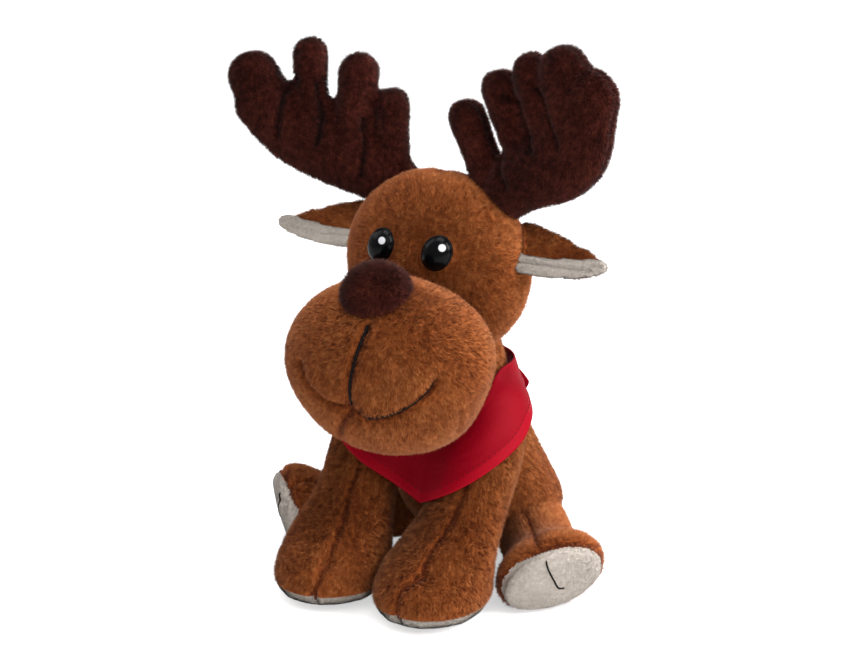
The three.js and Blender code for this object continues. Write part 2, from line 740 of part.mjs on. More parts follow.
function addHindLegs() {
  const hip = new THREE.Vector3(0, hipBack, hindFootRise);
  const [torsoRoom, wallRoom, fillingRoom] = torsoRooms(hip, [...hindLiftLimits, ...hindLiftStops]);
  for (const [name, side] of Object.entries(sides)) {
    const root = new THREE.Vector3(side * hipSpacing / 2, hip.y, hip.z);
    const splay = hindLegSplay[name];
    const form = hindLegForm(name);
    const seat = (drawn) => {
      drawn.rotateZ(deg(hindFootRoll));
      drawn.rotateX(deg(-90));
      drawn.rotateZ(deg(180 + splay));
      const turned = side > 0 ? drawn : mirroredX(drawn);
      return solidOf(turned.translate(root.x, root.y, root.z));
    };
    const leg = (grow, around, rings) => seat(stuffed(form, grow, around, rings));
    const pawRoom = sweptBy(stuffed(frontLegForm(side), jointGap), root, xAxis, hindLiftLimits);
    const outer = without(leg(0, limbSides, limbRings), [belowFloor, torsoRoom, pawRoom]);
    const shell = outer.subtract(leg(-plushWall, innerSides, legInnerRings).subtract(wallRoom));
    const forward = new THREE.Vector3(side * Math.sin(deg(splay)), -Math.cos(deg(splay)), 0);
    const seam = root.clone().addScaledVector(forward, form.height);
    const facing = forward.clone().addScaledVector(zAxis, -Math.tan(deg(hindToeLean)));
    const beyond = halfSpace(seam, facing);
    const before = halfSpace(seam.clone().addScaledVector(forward, seamGap), facing.clone().negate());
    addPiece(`hind_leg_${name}_skin`, shell.subtract(beyond), brownPlush(), root);
    addPiece(`hind_leg_${name}_sole`, shell.subtract(before), creamFelt(), root);
    const stuffing = leg(-plushWall - seamGap, innerSides, legInnerRings);
    addPiece(`hind_leg_${name}_filling`, without(stuffing, [fillingRoom, pawRoom, belowFloor]), filling(), root);
    const stitch = [0.86, 0.5, 0.1, -0.3].map((riseShare) => hindSolePoint(form, 0, riseShare));
    addPiece(`toe_stitch_hind_${name}`, seat(threadGeometry(stitch, toeSteps)), thread(), root);
  }
}

// Tail
function addTail() {
  const form = {
    height: tailLength,
    spread: 0,
    lean: 0,
    halfWidth: tailHalfWidth,
    halfDepth: tailHalfDepth,
    lowDome: tailHalfDepth,
    highDome: tailHalfDepth,
    shares: [[-0.2, 0, 0, 0.7, 0.9], [0.4, 0, 0, 1, 1], [0.9, 0, 0, 0.6, 0.7]],
  };
  const back = sectionAt(torsoForm, tailRise / torsoHeight);
  const root = new THREE.Vector3(0, torsoSeatBack + back.y + back.halfDepth, tailRise);
  const geometry = stuffed(form, 0, innerSides, innerRings);
  geometry.rotateX(deg(-tailTurn));
  geometry.translate(root.x, root.y, root.z);
  const room = sweptBy(torsoGeometry(jointGap), root, zAxis, tailLimits);
  addPiece('tail', solidOf(geometry).subtract(room), brownPlush(), root);
}

// Whether a point lies inside a stuffed form, given the turn from the part's frame to the form's own.
function holds({ form, toForm }, point) {
  const local = point.clone().applyMatrix4(toForm);
  const lastShare = form.shares[form.shares.length - 1][0];
  const section = sectionAt(form, Math.min(local.z / form.height, lastShare));
  const above = Math.max(local.z - lastShare * form.height, 0) / form.highDome;
  const across = (local.x - section.x) / section.halfWidth;
  const along = (local.y - section.y) / section.halfDepth;
  return across ** 2 + along ** 2 + above ** 2 < 1;
}

// The torso and the front legs, at rest and at both of their limits
function formsUnderCloth() {
  const toPivot = new THREE.Matrix4().makeTranslation(0, -shoulder.y, -shoulder.z);
  const legs = [0, ...frontSwingLimits].flatMap((limit) => {
    const back = new THREE.Matrix4().makeRotationX(deg(-limit));
    const toForm = toPivot.clone().invert().multiply(back).multiply(toPivot);
    return Object.values(sides).map((side) => ({ form: frontLegForm(side), toForm }));
  });
  return [{ form: torsoForm, toForm: torsoForm.place.clone().invert() }, ...legs];
}

function reachOf(forms, from, direction) {
  const step = clothThickness / clothSearchSteps;
  const point = new THREE.Vector3();
  let reach = torsoHeight;
  const held = () => forms.some((each) => holds(each, point.copy(from).addScaledVector(direction, reach)));
  while (reach > 0 && !held()) reach -= step;
  return Math.max(reach, 0);
}

// The neckerchief's lower edge, which hangs lower on its right side: turns from its tip as shares of half a turn,
// and heights as shares of its top.
const clothEdgeShares = {
  left: [[0, 0.447], [0.05, 0.512], [0.1, 0.57], [0.15, 0.625], [0.2, 0.68], [0.28, 0.755], [0.35, 0.81], [0.5, 0.845], [1, 0.855]],
  right: [[0, 0.447], [0.05, 0.475], [0.1, 0.525], [0.15, 0.59], [0.2, 0.65], [0.28, 0.73], [0.35, 0.785], [0.5, 0.835], [1, 0.855]],
};

// Where the top edge starts to rise behind the muzzle and where it is at full height, as shares of half a turn
const clothTopShares = { left: [0.07, 0.28], right: [0.12, 0.42] };

function clothEdges(angle) {
  const turned = Math.abs(angle) / Math.PI;
  return {
    top: THREE.MathUtils.lerp(clothFrontTopRise, clothTopRise, smooth(...clothTopShares[angle < 0 ? 'right' : 'left'], turned)),
    bottom: clothTopRise * valueAt(angle < 0 ? clothEdgeShares.right : clothEdgeShares.left, 1, turned),
  };
}

// The cloth's inner surface: the torso and shoulders with room to move, drawn taut round the valleys.
function clothSurface() {
  const forms = formsUnderCloth();
  const rows = [];
  for (let row = 0; row <= clothRows; row += 1) {
    const ring = [];
    for (let column = 0; column < clothColumns; column += 1) {
      const angle = (column / clothColumns) * 2 * Math.PI - Math.PI;
      const { top, bottom } = clothEdges(angle);
      const heading = angle + deg(clothTwist);
      const height = THREE.MathUtils.lerp(top, bottom, row / clothRows);
      const middle = sectionAt(torsoForm, height / torsoHeight);
      const from = new THREE.Vector3(0, middle.y + torsoSeatBack, height);
      const direction = new THREE.Vector3(Math.sin(heading), -Math.cos(heading), 0);
      ring.push({ from, direction, reach: reachOf(forms, from, direction) + clothClearance });
    }
    for (let pass = 0; pass < clothPasses; pass += 1) {
      const before = ring.map((point) => point.reach);
      ring.forEach((point, k) => {
        const next = before[(k + 1) % clothColumns];
        const last = before[(k + clothColumns - 1) % clothColumns];
        point.reach = Math.max(point.reach, (next + last) / 2);
      });
    }
    rows.push(ring);
  }
  return rows;
}

// A point of the cloth, with its soft folds that deepen towards the lower edge
function clothPoint(rows, row, column, layer) {
  const { from, direction, reach } = rows[row][column];
  const angle = (column / clothColumns) * 2 * Math.PI;
  const fold = clothFoldDepth * (row / clothRows) * (1 - Math.cos(clothFolds * angle)) / 2;
  return from.clone().addScaledVector(direction, reach + layer + fold);
}

function addNeckerchief() {
  const rows = clothSurface();
  const points = [0, clothThickness].flatMap((layer) => (
    rows.flatMap((ring, row) => ring.map((_, column) => clothPoint(rows, row, column, layer)))
  ));
  const faces = [];
  const rowCount = rows.length;
  const at = (layer, row, column) => (layer * rowCount + row) * clothColumns + (column % clothColumns);
  const quad = (a, b, c, d) => faces.push(a, b, c, a, c, d);
  for (let column = 0; column < clothColumns; column += 1) {
    for (let row = 0; row < rowCount - 1; row += 1) {
      quad(at(1, row, column), at(1, row + 1, column), at(1, row + 1, column + 1), at(1, row, column + 1));
      quad(at(0, row, column), at(0, row, column + 1), at(0, row + 1, column + 1), at(0, row + 1, column));
    }
    quad(at(0, 0, column), at(1, 0, column), at(1, 0, column + 1), at(0, 0, column + 1));
    const last = rowCount - 1;
    quad(at(0, last, column), at(0, last, column + 1), at(1, last, column + 1), at(1, last, column));
  }
  const geometry = new THREE.BufferGeometry().setFromPoints(points);
  geometry.setIndex(faces);
  const legRooms = Object.values(sides).map((side) => (
    sweptBy(stuffed(frontLegForm(side), seamGap), shoulder, xAxis, frontSwingLimits.map((limit) => -limit))
  ));
  addPiece('neckerchief_cloth', without(solidOf(geometry), legRooms), redCloth());
  addKnot(rows);
}

// The knot behind the neck and its two loose ends
function addKnot(rows) {
  const halves = new THREE.Vector3(knotRadius, knotRadius * knotDepthShare, knotRadius * knotHeightShare);
  const centre = clothPoint(rows, Math.floor(clothRows / 2), 0, clothThickness);
  const backs = rows.map((_, row) => {
    const cloth = clothPoint(rows, row, 0, clothThickness);
    const away = Math.min(Math.abs(cloth.z - centre.z) / halves.z, 1);
    return cloth.y + seamGap + halves.y * Math.sqrt(1 - away ** 2);
  });
  centre.y = Math.max(...backs);
  const knot = solidOf(ball(centre, halves, 0, innerSides, innerRings));
  addPiece('neckerchief_knot', knot, redCloth());
  for (const [name, side] of Object.entries(sides)) {
    const end = new THREE.BoxGeometry(tieWidth, tieThickness, tieLength);
    end.translate(0, 0, -tieLength / 2 - knotRadius);
    end.rotateX(deg(tieBack));
    end.rotateY(deg(-side * tieSpread));
    end.translate(centre.x, centre.y, centre.z);
    const room = solidOf(ball(centre, halves, seamGap, innerSides, innerRings));
    const acrossMiddle = halfSpace(new THREE.Vector3(side * seamGap / 2, 0, 0), new THREE.Vector3(-side, 0, 0));
    addPiece(`neckerchief_end_${name}`, without(solidOf(end), [room, acrossMiddle]), redCloth());
  }
}

addTorso();
addHead();
addNose();
addEyes();
addMouth();
addAntlers();
addEars();
addFrontLegs();
addHindLegs();
addTail();
addNeckerchief();

export default part;
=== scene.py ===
"""A seated plush deer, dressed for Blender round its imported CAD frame."""
import math

import bmesh
import bpy
import numpy as np
from bpy.props import FloatProperty, FloatVectorProperty, IntProperty, PointerProperty
from mathutils import Matrix, Vector
from mathutils.bvhtree import BVHTree


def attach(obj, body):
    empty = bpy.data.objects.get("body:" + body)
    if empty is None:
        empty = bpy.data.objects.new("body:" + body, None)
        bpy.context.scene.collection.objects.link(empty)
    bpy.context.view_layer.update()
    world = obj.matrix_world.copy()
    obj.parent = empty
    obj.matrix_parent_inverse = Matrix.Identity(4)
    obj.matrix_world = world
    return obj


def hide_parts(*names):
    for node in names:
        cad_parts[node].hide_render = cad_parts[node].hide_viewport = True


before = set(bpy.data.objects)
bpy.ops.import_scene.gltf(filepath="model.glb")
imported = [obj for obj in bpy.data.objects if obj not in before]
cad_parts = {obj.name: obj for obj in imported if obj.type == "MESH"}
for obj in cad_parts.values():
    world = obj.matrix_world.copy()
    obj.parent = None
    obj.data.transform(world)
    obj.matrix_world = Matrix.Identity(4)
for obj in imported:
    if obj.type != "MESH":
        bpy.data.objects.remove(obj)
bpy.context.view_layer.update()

bl_info = {
    "name": "Plush Deer",
    "version": (1, 0, 0),
    "blender": (4, 5, 0),
    "location": "3D View > Sidebar > Plush Deer",
    "description": "Dresses a plush deer's CAD frame in pile fabric, felt, cloth and thread",
    "category": "Add Mesh",
}

MM = 0.001
SIDES = {"left": 1, "right": -1}


def hex_color(code):
    """An sRGB hex colour as linear red, green and blue."""
    parts = [int(code[i : i + 2], 16) / 255 for i in (0, 2, 4)]
    return tuple(c / 12.92 if c <= 0.04045 else ((c + 0.055) / 1.055) ** 2.4 for c in parts)


def length(name, description, millimetres):
    return FloatProperty(name=name, description=description, default=millimetres * MM, min=0, unit="LENGTH")


def colour(name, description, code):
    return FloatVectorProperty(name=name, description=description, default=hex_color(code), size=3,
                               min=0, max=1, subtype="COLOR")


class PlushDeerSizes(bpy.types.PropertyGroup):
    """Sizes of the fabric and its sewing."""

    pile_length: length("Pile length", "Length of the brown pile's fibres", 2.7)
    dark_pile_length: length("Antler pile length", "Length of the antlers' pile", 2.2)
    nose_pile_length: length("Nose pile length", "Length of the nose ball's pile", 3.2)
    sole_pile_length: length("Sole pile length", "Length of the short nap on soles and ear linings", 0.7)
    strand_width: length("Strand width", "Width of one drawn strand, a bundle of real fibres", 0.34)
    strand_density: FloatProperty(name="Strand density", description="Drawn strands per square millimetre",
                                  default=9.0, min=0)
    seam_depth: length("Seam depth", "How deep a sewn seam draws the plush in", 1.5)
    seam_width: length("Seam width", "Half width of the valley along a seam", 1.3)
    puff: length("Puff", "How far the stuffing may swell a panel between its seams", 1.4)
    hem_width: length("Hem width", "Width of the neckerchief's turned hem", 4.3)
    cloth_thickness: length("Cloth thickness", "Thickness of the neckerchief's cloth", 0.7)
    stitch_length: length("Stitch length", "Length of one hem stitch", 2.0)
    seed: IntProperty(name="Seed", description="Seed for the pile's disorder", default=7)


class PlushDeerColours(bpy.types.PropertyGroup):
    """Colours of the fabrics, threads and plastic."""

    # Each pile runs from its deep colour, its roots darkened as painted shade, to its lighter tips
    brown_deep: colour("Brown, deep", "Body pile near its roots", "602a10")
    brown: colour("Brown", "Body pile", "ae5a28")
    brown_tip: colour("Brown, tips", "Body pile at its tips", "d8864c")
    dark_deep: colour("Antler, deep", "Antler pile near its roots", "1c0a07")
    dark: colour("Antler", "Antler pile", "4a1a11")
    dark_tip: colour("Antler, tips", "Antler pile at its tips", "7a382a")
    cream: colour("Cream", "Soles and ear linings", "e4d8cc")
    red: colour("Red", "Neckerchief cloth", "8c0216")
    thread: colour("Thread", "Embroidery thread", "0b0706")
    eye: colour("Eye", "Moulded eyes", "050506")


def sizes():
    return bpy.context.scene.plush_deer_sizes


def colours():
    return bpy.context.scene.plush_deer_colours


# Nodes
TIMES = {"operation": "MULTIPLY"}


def add_node(tree, kind, settings=None, **inputs):
    """Adds one node, sets its settings, and fills or links its inputs by name or by number as in i0, i1."""
    node = tree.nodes.new(kind)
    for key, value in (settings or {}).items():
        setattr(node, key, value)
    for key, value in inputs.items():
        key = key.replace("_", " ")
        socket = node.inputs[int(key[1:])] if key[0] == "i" and key[1:].isdigit() else node.inputs[key]
        if isinstance(value, bpy.types.NodeSocket):
            tree.links.new(value, socket)
        elif value is not None:
            socket.default_value = value
    return node


def new_material(name):
    material = bpy.data.materials.new(name)
    material.use_nodes = True
    material.node_tree.nodes.clear()
    return material, material.node_tree


def rgba(rgb):
    return (*rgb, 1.0)


def shaded(rgb, share, lift=0.0):
    """A colour made darker or lighter by a share, and lifted by a little."""
    return tuple(min(c * share + lift, 1) for c in rgb)


def band_scale(band_mm):
    """The scale of a Wave Texture whose light and dark bands are each so many millimetres wide."""
    return math.pi / 20 / (band_mm * MM)


# What moves a strand's tone along its ramp, as a share and an offset: its height, which darkens it towards the root as
# painted shade, its own shade, the tuft it stands in, the handling of the panel, and a seam nearby, darkened as painted
# shade
TONE_SHARES = {"tip": (0.5, 0), "shade": (0.24, 0), "tuft": (0.9, -0.45), "drift": (0.6, -0.3), "seam": (-0.35, 0)}
DEEP_STOP, MIDDLE_STOP, TIP_STOP = 0.02, 0.38, 0.78


def pile_fabric(name, deep, middle, tip, tuft_mm=2.2, drift_mm=24.0, sheen=0.09):
    """Knitted polyester pile: soft and matt, its tone shifting by tuft and handling.

    Each strand is darkened at its root and near a seam as painted shade.
    """
    material, tree = new_material(name)
    place = add_node(tree, "ShaderNodeTexCoord").outputs["Object"]
    tuft = add_node(tree, "ShaderNodeTexNoise", Vector=place, Scale=1 / (tuft_mm * MM), Detail=3.0, Roughness=0.6)
    drift = add_node(tree, "ShaderNodeTexNoise", Vector=place, Scale=1 / (drift_mm * MM), Detail=2.0)
    tones = {"tuft": tuft.outputs[0], "drift": drift.outputs[0]}
    for key in ("tip", "shade", "seam"):
        tones[key] = add_node(tree, "ShaderNodeAttribute", {"attribute_name": key}).outputs["Fac"]
    total = 0.0
    for key, (share, offset) in TONE_SHARES.items():
        term = add_node(tree, "ShaderNodeMath", {"operation": "MULTIPLY_ADD"}, i0=tones[key], i1=share, i2=offset)
        total = add_node(tree, "ShaderNodeMath", {"operation": "ADD"}, i0=total, i1=term.outputs[0]).outputs[0]
    ramp = add_node(tree, "ShaderNodeValToRGB", Fac=total)
    stops = ramp.color_ramp.elements
    stops[0].position, stops[0].color = DEEP_STOP, rgba(deep)
    stops[1].position, stops[1].color = TIP_STOP, rgba(tip)
    stops.new(MIDDLE_STOP).color = rgba(middle)
    normal = add_node(tree, "ShaderNodeAttribute", {"attribute_name": "skin_normal"}).outputs["Vector"]
    faced = add_node(tree, "ShaderNodeVectorTransform",
                     {"vector_type": "NORMAL", "convert_from": "OBJECT", "convert_to": "WORLD"}, i0=normal)
    shader = add_node(tree, "ShaderNodeBsdfPrincipled", Base_Color=ramp.outputs[0], Roughness=0.9,
                      Normal=faced.outputs[0], Sheen_Weight=sheen, Sheen_Roughness=0.5, Specular_IOR_Level=0.15)
    add_node(tree, "ShaderNodeOutputMaterial", Surface=shader.outputs[0])
    return material


def woven_cotton(name, rgb, thread_mm=0.5):
    """Plain-weave cotton: dull, with fine crossed threads, slightly uneven dye, and a slightly lighter red on its
    turned hem.

    The threads are drawn coarser than real ones, so that they show."""
    material, tree = new_material(name)
    weave_map = add_node(tree, "ShaderNodeUVMap", {"uv_map": "cloth"}).outputs[0]
    bands = [add_node(tree, "ShaderNodeTexWave", {"bands_direction": direction, "wave_profile": "SIN"},
                      Vector=weave_map, Scale=band_scale(thread_mm), Distortion=0.4, Detail=1.0).outputs["Fac"]
             for direction in ("X", "Y")]
    weave = add_node(tree, "ShaderNodeMath", TIMES, i0=bands[0], i1=bands[1]).outputs[0]
    bump = add_node(tree, "ShaderNodeBump", Strength=0.35, Distance=0.15 * MM, Height=weave)
    place = add_node(tree, "ShaderNodeTexCoord").outputs["Object"]
    dye = add_node(tree, "ShaderNodeTexNoise", Vector=place, Scale=1 / (14 * MM), Detail=4.0).outputs[0]
    tone = add_node(tree, "ShaderNodeMath", {"operation": "MULTIPLY_ADD"}, i0=dye, i1=0.7, i2=0.1).outputs[0]
    dyed = add_node(tree, "ShaderNodeMix", {"data_type": "RGBA"}, Factor=tone, i6=rgba(shaded(rgb, 0.75)), i7=rgba(rgb))
    hem = add_node(tree, "ShaderNodeAttribute", {"attribute_name": "hem"}).outputs["Fac"]
    banded = add_node(tree, "ShaderNodeMix", {"data_type": "RGBA"}, Factor=hem, i6=dyed.outputs[2],
                      i7=rgba(shaded(rgb, 1.08)))
    shader = add_node(tree, "ShaderNodeBsdfPrincipled", Base_Color=banded.outputs[2], Roughness=0.6,
                      Normal=bump.outputs[0], Specular_IOR_Level=0.06)
    add_node(tree, "ShaderNodeOutputMaterial", Surface=shader.outputs[0])
    return material


def twisted_thread(name, rgb, ply_mm=0.9):
    """Twisted cotton thread: nearly matt, with fine slanting plies, lighter along each ply as a painted highlight and
    darker between plies as painted shade.
    """
    material, tree = new_material(name)
    place = add_node(tree, "ShaderNodeTexCoord").outputs["Object"]
    ply = add_node(tree, "ShaderNodeTexWave", {"bands_direction": "DIAGONAL"}, Vector=place,
                   Scale=band_scale(ply_mm)).outputs["Fac"]
    # The plies' pale bands are painted highlights and their dark bands painted shade
    mix = add_node(tree, "ShaderNodeMix", {"data_type": "RGBA"}, Factor=ply, i6=rgba(shaded(rgb, 0.6)),
                   i7=rgba(shaded(rgb, 1.8, 0.001)))
    bump = add_node(tree, "ShaderNodeBump", Strength=0.5, Distance=0.1 * MM, Height=ply)
    shader = add_node(tree, "ShaderNodeBsdfPrincipled", Base_Color=mix.outputs[2], Roughness=0.7,
                      Normal=bump.outputs[0], Specular_IOR_Level=0.12)
    add_node(tree, "ShaderNodeOutputMaterial", Surface=shader.outputs[0])
    return material


def polished_acrylic(name, rgb, dots, dot_radius, dot_colour="d2d2d6"):
    """Moulded acrylic, polished: deep black with a soft gleam, and one small pale dot printed on each eye."""
    material, tree = new_material(name)
    place = add_node(tree, "ShaderNodeTexCoord").outputs["Object"]
    away = [add_node(tree, "ShaderNodeVectorMath", {"operation": "DISTANCE"}, i0=place, i1=tuple(dot)).outputs["Value"]
            for dot in dots]
    nearest = add_node(tree, "ShaderNodeMath", {"operation": "MINIMUM"}, i0=away[0], i1=away[1]).outputs[0]
    dotted = add_node(tree, "ShaderNodeMapRange", {"interpolation_type": "SMOOTHSTEP"}, Value=nearest,
                      From_Min=dot_radius * 0.8, From_Max=dot_radius * 1.1, To_Min=1.0, To_Max=0.0).outputs[0]
    haze = add_node(tree, "ShaderNodeTexNoise", Vector=place, Scale=1 / (3 * MM), Detail=2.0).outputs[0]
    base = add_node(tree, "ShaderNodeMix", {"data_type": "RGBA"}, Factor=haze, i6=rgba(rgb), i7=rgba(shaded(rgb, 1.6)))
    mix = add_node(tree, "ShaderNodeMix", {"data_type": "RGBA"}, Factor=dotted, i6=base.outputs[2],
                   i7=rgba(hex_color(dot_colour)))
    rough = add_node(tree, "ShaderNodeMapRange", Value=haze, To_Min=0.14, To_Max=0.22)
    shader = add_node(tree, "ShaderNodeBsdfPrincipled", Base_Color=mix.outputs[2], Roughness=rough.outputs[0],
                      IOR=1.49, Specular_IOR_Level=0.1)
    add_node(tree, "ShaderNodeOutputMaterial", Surface=shader.outputs[0])
    return material


def mottled(name, deep, pale, grain_mm, roughness, detail=3.0, distortion=0.0, bump_mm=0.0):
    """A matt white stuff whose tone drifts between two colours, raised where it is pale, so that its darker tone lies
    in the hollows as painted shade.
    """
    material, tree = new_material(name)
    place = add_node(tree, "ShaderNodeTexCoord").outputs["Object"]
    grain = add_node(tree, "ShaderNodeTexNoise", Vector=place, Scale=1 / (grain_mm * MM), Detail=detail,
                     Distortion=distortion).outputs[0]
    ramp = add_node(tree, "ShaderNodeValToRGB", Fac=grain)
    ramp.color_ramp.elements[0].color = rgba(hex_color(deep))
    ramp.color_ramp.elements[1].color = rgba(hex_color(pale))
    bump = add_node(tree, "ShaderNodeBump", Strength=0.6, Distance=bump_mm * MM, Height=grain)
    shader = add_node(tree, "ShaderNodeBsdfPrincipled", Base_Color=ramp.outputs[0], Roughness=roughness,
                      Normal=bump.outputs[0])
    add_node(tree, "ShaderNodeOutputMaterial", Surface=shader.outputs[0])
    return material


def finish_of(key):
    """The named finish, made once."""
    made = bpy.data.materials.get(key)
    if made:
        return made
    c = colours()
    antler = (c.dark_deep, c.dark, c.dark_tip)
    wisps = {"grain_mm": 4, "roughness": 0.95, "detail": 6.0, "distortion": 1.5, "bump_mm": 0.8}
    makers = {
        # Warm brown fur, darkened towards its roots as painted shade so that it lightens towards its tips, and deeper
        # between its tufts
        "brown pile fabric": lambda: pile_fabric(key, c.brown_deep, c.brown, c.brown_tip),
        # The same pile dyed dark, darkened further towards its roots as painted shade, so that only its tips show a
        # red-brown
        "dark brown pile fabric": lambda: pile_fabric(key, *antler, sheen=0.08),
        # The dark pile in smaller, shaggier tufts
        "nose pile fabric": lambda: pile_fabric(key, *antler, tuft_mm=1.6, drift_mm=12, sheen=0.08),
        # A pale, felt-like nap, almost even, its roots darkened as painted shade, with a faint bloom at its edges
        "cream napped fabric": lambda: pile_fabric(key, shaded(c.cream, 0.6), c.cream, shaded(c.cream, 1.12),
                                                   tuft_mm=1.2, drift_mm=15, sheen=0.15),
        # A dull, fine-woven red cloth
        "red woven cotton": lambda: woven_cotton(key, c.red),
        # Black lines with a slight lustre, partly painted as highlights along their plies
        "black embroidery thread": lambda: twisted_thread(key, c.thread),
        # Threads darker than their cloth, so that their stitches show as a fine line
        "red sewing thread": lambda: twisted_thread(key, shaded(c.red, 0.45), 0.4),
        "brown sewing thread": lambda: twisted_thread(key, c.brown_deep, 0.4),
        # White plastic with a faint grain
        "white moulded nylon": lambda: mottled(key, "d6d3cb", "ece9e2", grain_mm=0.8, roughness=0.45),
        # Soft white wisps with hollows between them darkened as painted shade, and the same in a plain unbleached tone
        "polyester fibre": lambda: mottled(key, "cfcac0", "f2f0ea", **wisps),
        "cotton pellet bag": lambda: mottled(key, "b9b0a0", "ddd6c8", **wisps),
    }
    return makers[key]()


# Stuffed forms, in millimetres, as the CAD draws them
def value_at(rows, column, at):
    """A smooth value between rows of a table, whose first column rises."""
    rows = np.asarray(rows, float)
    last = len(rows) - 1
    at = np.asarray(at, float)
    i = np.clip(np.searchsorted(rows[:, 0], at, side="left") - 1, 0, last - 1)

    def slope(k):
        low, high = rows[np.maximum(k - 1, 0)], rows[np.minimum(k + 1, last)]
        return (high[..., column] - low[..., column]) / (high[..., 0] - low[..., 0])

    span = rows[i + 1, 0] - rows[i, 0]
    t = np.clip((at - rows[i, 0]) / span, 0, 1)
    a, b = rows[i, column], rows[i + 1, column]
    bend = t * (1 - t) ** 2 * span * slope(i) - t**2 * (1 - t) * span * slope(i + 1)
    return a + (b - a) * (3 * t**2 - 2 * t**3) + bend


def section_at(form, share):
    """Centre, half width and half depth of a form's oval sections."""
    rows = form["shares"]
    return (form["spread"] * value_at(rows, 1, share), -form["lean"] * value_at(rows, 2, share),
            form["height"] * np.asarray(share, float), form["half_width"] * value_at(rows, 3, share),
            form["half_depth"] * value_at(rows, 4, share))


def wrapped(around, rings, outward=True):
    """Faces of a closed skin whose points are its one end, ring after ring, and its other end."""
    last = 1 + rings * around
    faces = []
    for k in range(around):
        n = (k + 1) % around
        faces += [(0, 1 + n, 1 + k), (last, last - around + k, last - around + n)]
        faces += [(a + k, a + n, a + around + n, a + around + k) for a in range(1, last - around, around)]
    return faces if outward else [(f[0], *f[:0:-1]) for f in faces]


def stuffed(form, grow=0.0, around=48, rings=36, dome_rings=7):
    """Points and faces of a closed skin round a form."""
    first, last = form["shares"][0][0], form["shares"][-1][0]
    low = form.get("low_dome", form["height"] * first + 0.5)
    angles = np.arange(around) / around * 2 * np.pi

    def dome(share, reach, sign):
        x, y, z, w, d = (float(v) for v in section_at(form, share))
        steps = np.arange(1, dome_rings) / dome_rings * np.pi / 2
        return [(x, y, z + sign * (reach + grow) * math.sin(a), (w + grow) * math.cos(a), (d + grow) * math.cos(a))
                for a in steps], (x, y, z + sign * (reach + grow))

    under, foot = dome(first, low, -1)
    over, top = dome(last, form["high_dome"], 1)
    sides = [section_at(form, share) for share in np.linspace(first, last, rings + 1)]
    ovals = [*under[::-1], *((x, y, z, w + grow, d + grow) for x, y, z, w, d in sides), *over]
    lean = math.tan(math.radians(form.get("end_lean", 0)))
    points = [foot]
    for x, y, z, w, d in ovals:
        across = d * np.sin(angles)
        rise = z - lean * across * max(z / form["height"], 0)
        points += np.stack([x + w * np.cos(angles), y + across, rise], -1).tolist()
    return turned([*points, top], form.get("place", Matrix())), wrapped(around, len(ovals))


def turned(points, matrix):
    """Points, or one point, moved by a matrix."""
    m = np.array(matrix)
    return np.asarray(points, float) @ m[:3, :3].T + m[:3, 3]


def way_in(matrix, direction):
    """A direction drawn in a piece's own frame, turned with the piece."""
    return np.array(matrix)[:3, :3] @ np.array(direction, float)


def ball(centre, halves, grow=0.0, around=56, rings=40):
    """Points and faces of a stretched ball."""
    lat, lon = np.meshgrid(np.arange(1, rings) / rings * np.pi, np.arange(around) / around * 2 * np.pi, indexing="ij")
    body = np.stack([np.sin(lat) * np.cos(lon), np.sin(lat) * np.sin(lon), np.cos(lat)], -1).reshape(-1, 3)
    points = np.vstack([[0, 0, 1], body, [0, 0, -1]]) * (np.array(halves, float) + grow) + np.array(centre, float)
    return points, wrapped(around, rings - 1, outward=False)


def in_ball(points, centre, halves, grow=0.0):
    return ((((points - np.array(centre)) / (np.array(halves) + grow)) ** 2).sum(1)) < 1


def in_form(points, form, grow=0.0):
    """Which points lie inside a form grown by some millimetres."""
    local = turned(points, np.linalg.inv(np.array(form.get("place", Matrix()))))
    last = form["shares"][-1][0]
    share = np.clip(local[:, 2] / form["height"], form["shares"][0][0], last)
    x, y, _, w, d = section_at(form, share)
    above = np.maximum(local[:, 2] - last * form["height"], 0) / (form["high_dome"] + grow)
    first = form["shares"][0][0] * form["height"]
    low = form.get("low_dome", first + 0.5) + grow
    above += np.maximum(first - local[:, 2], 0) / max(low, 0.1)
    return ((local[:, 0] - x) / (w + grow)) ** 2 + ((local[:, 1] - y) / (d + grow)) ** 2 + above**2 < 1


SEAT_BACK = 5.0
TORSO = {
    "height": 93.0, "spread": 0.0, "lean": 26.0, "half_width": 38.0, "half_depth": 34.5, "high_dome": 20.0,
    "shares": [(0.09, 0, 0.05, 0.84, 0.84), (0.2, 0, 0.16, 1, 1), (0.37, 0, 0.5, 0.97, 0.97),
               (0.55, 0, 0.78, 0.86, 0.88), (0.72, 0, 0.92, 0.73, 0.77), (0.86, 0, 0.98, 0.62, 0.67),
               (1, 0, 1, 20 / 38, 20 / 34.5)],
    "place": Matrix.Translation((0, SEAT_BACK, 0)),
}
SKULL = ((0.0, -39.0, 135.0), (43.0, 26.0, 41.0))
MUZZLE = ((0.0, -77.0, 101.5), (47.5, 36.0, 37.0))
NOSE = ((0.0, -87.5, 134.5), (14.3, 14.3, 14.3 * 0.92))


def front_leg_form(side):
    return {
        "height": 80.0, "spread": side * 24.0, "lean": 87.0, "half_width": 24.5, "half_depth": 27.0,
        "high_dome": 12.25,
        "shares": [(0.06, 1, 1, 0.98, 0.98), (0.14, 1, 0.98, 1, 0.99), (0.25, 1.01, 0.94, 0.95, 0.92),
                   (0.37, 1.06, 0.83, 0.83, 0.8), (0.5, 1.1, 0.7, 0.72, 0.66), (0.66, 1.12, 0.6, 0.71, 0.65),
                   (0.82, 1.08, 0.51, 0.7, 0.64), (0.95, 1, 0.43, 0.55, 0.52)],
    }


HIND_SPLAY = {"left": 36.5, "right": 44.0}
HIND_LENGTH = {"left": 75.5, "right": 69.5}
HIND_TOE_LEAN = 14.0
HIP = (22.0, 0, 15.0)


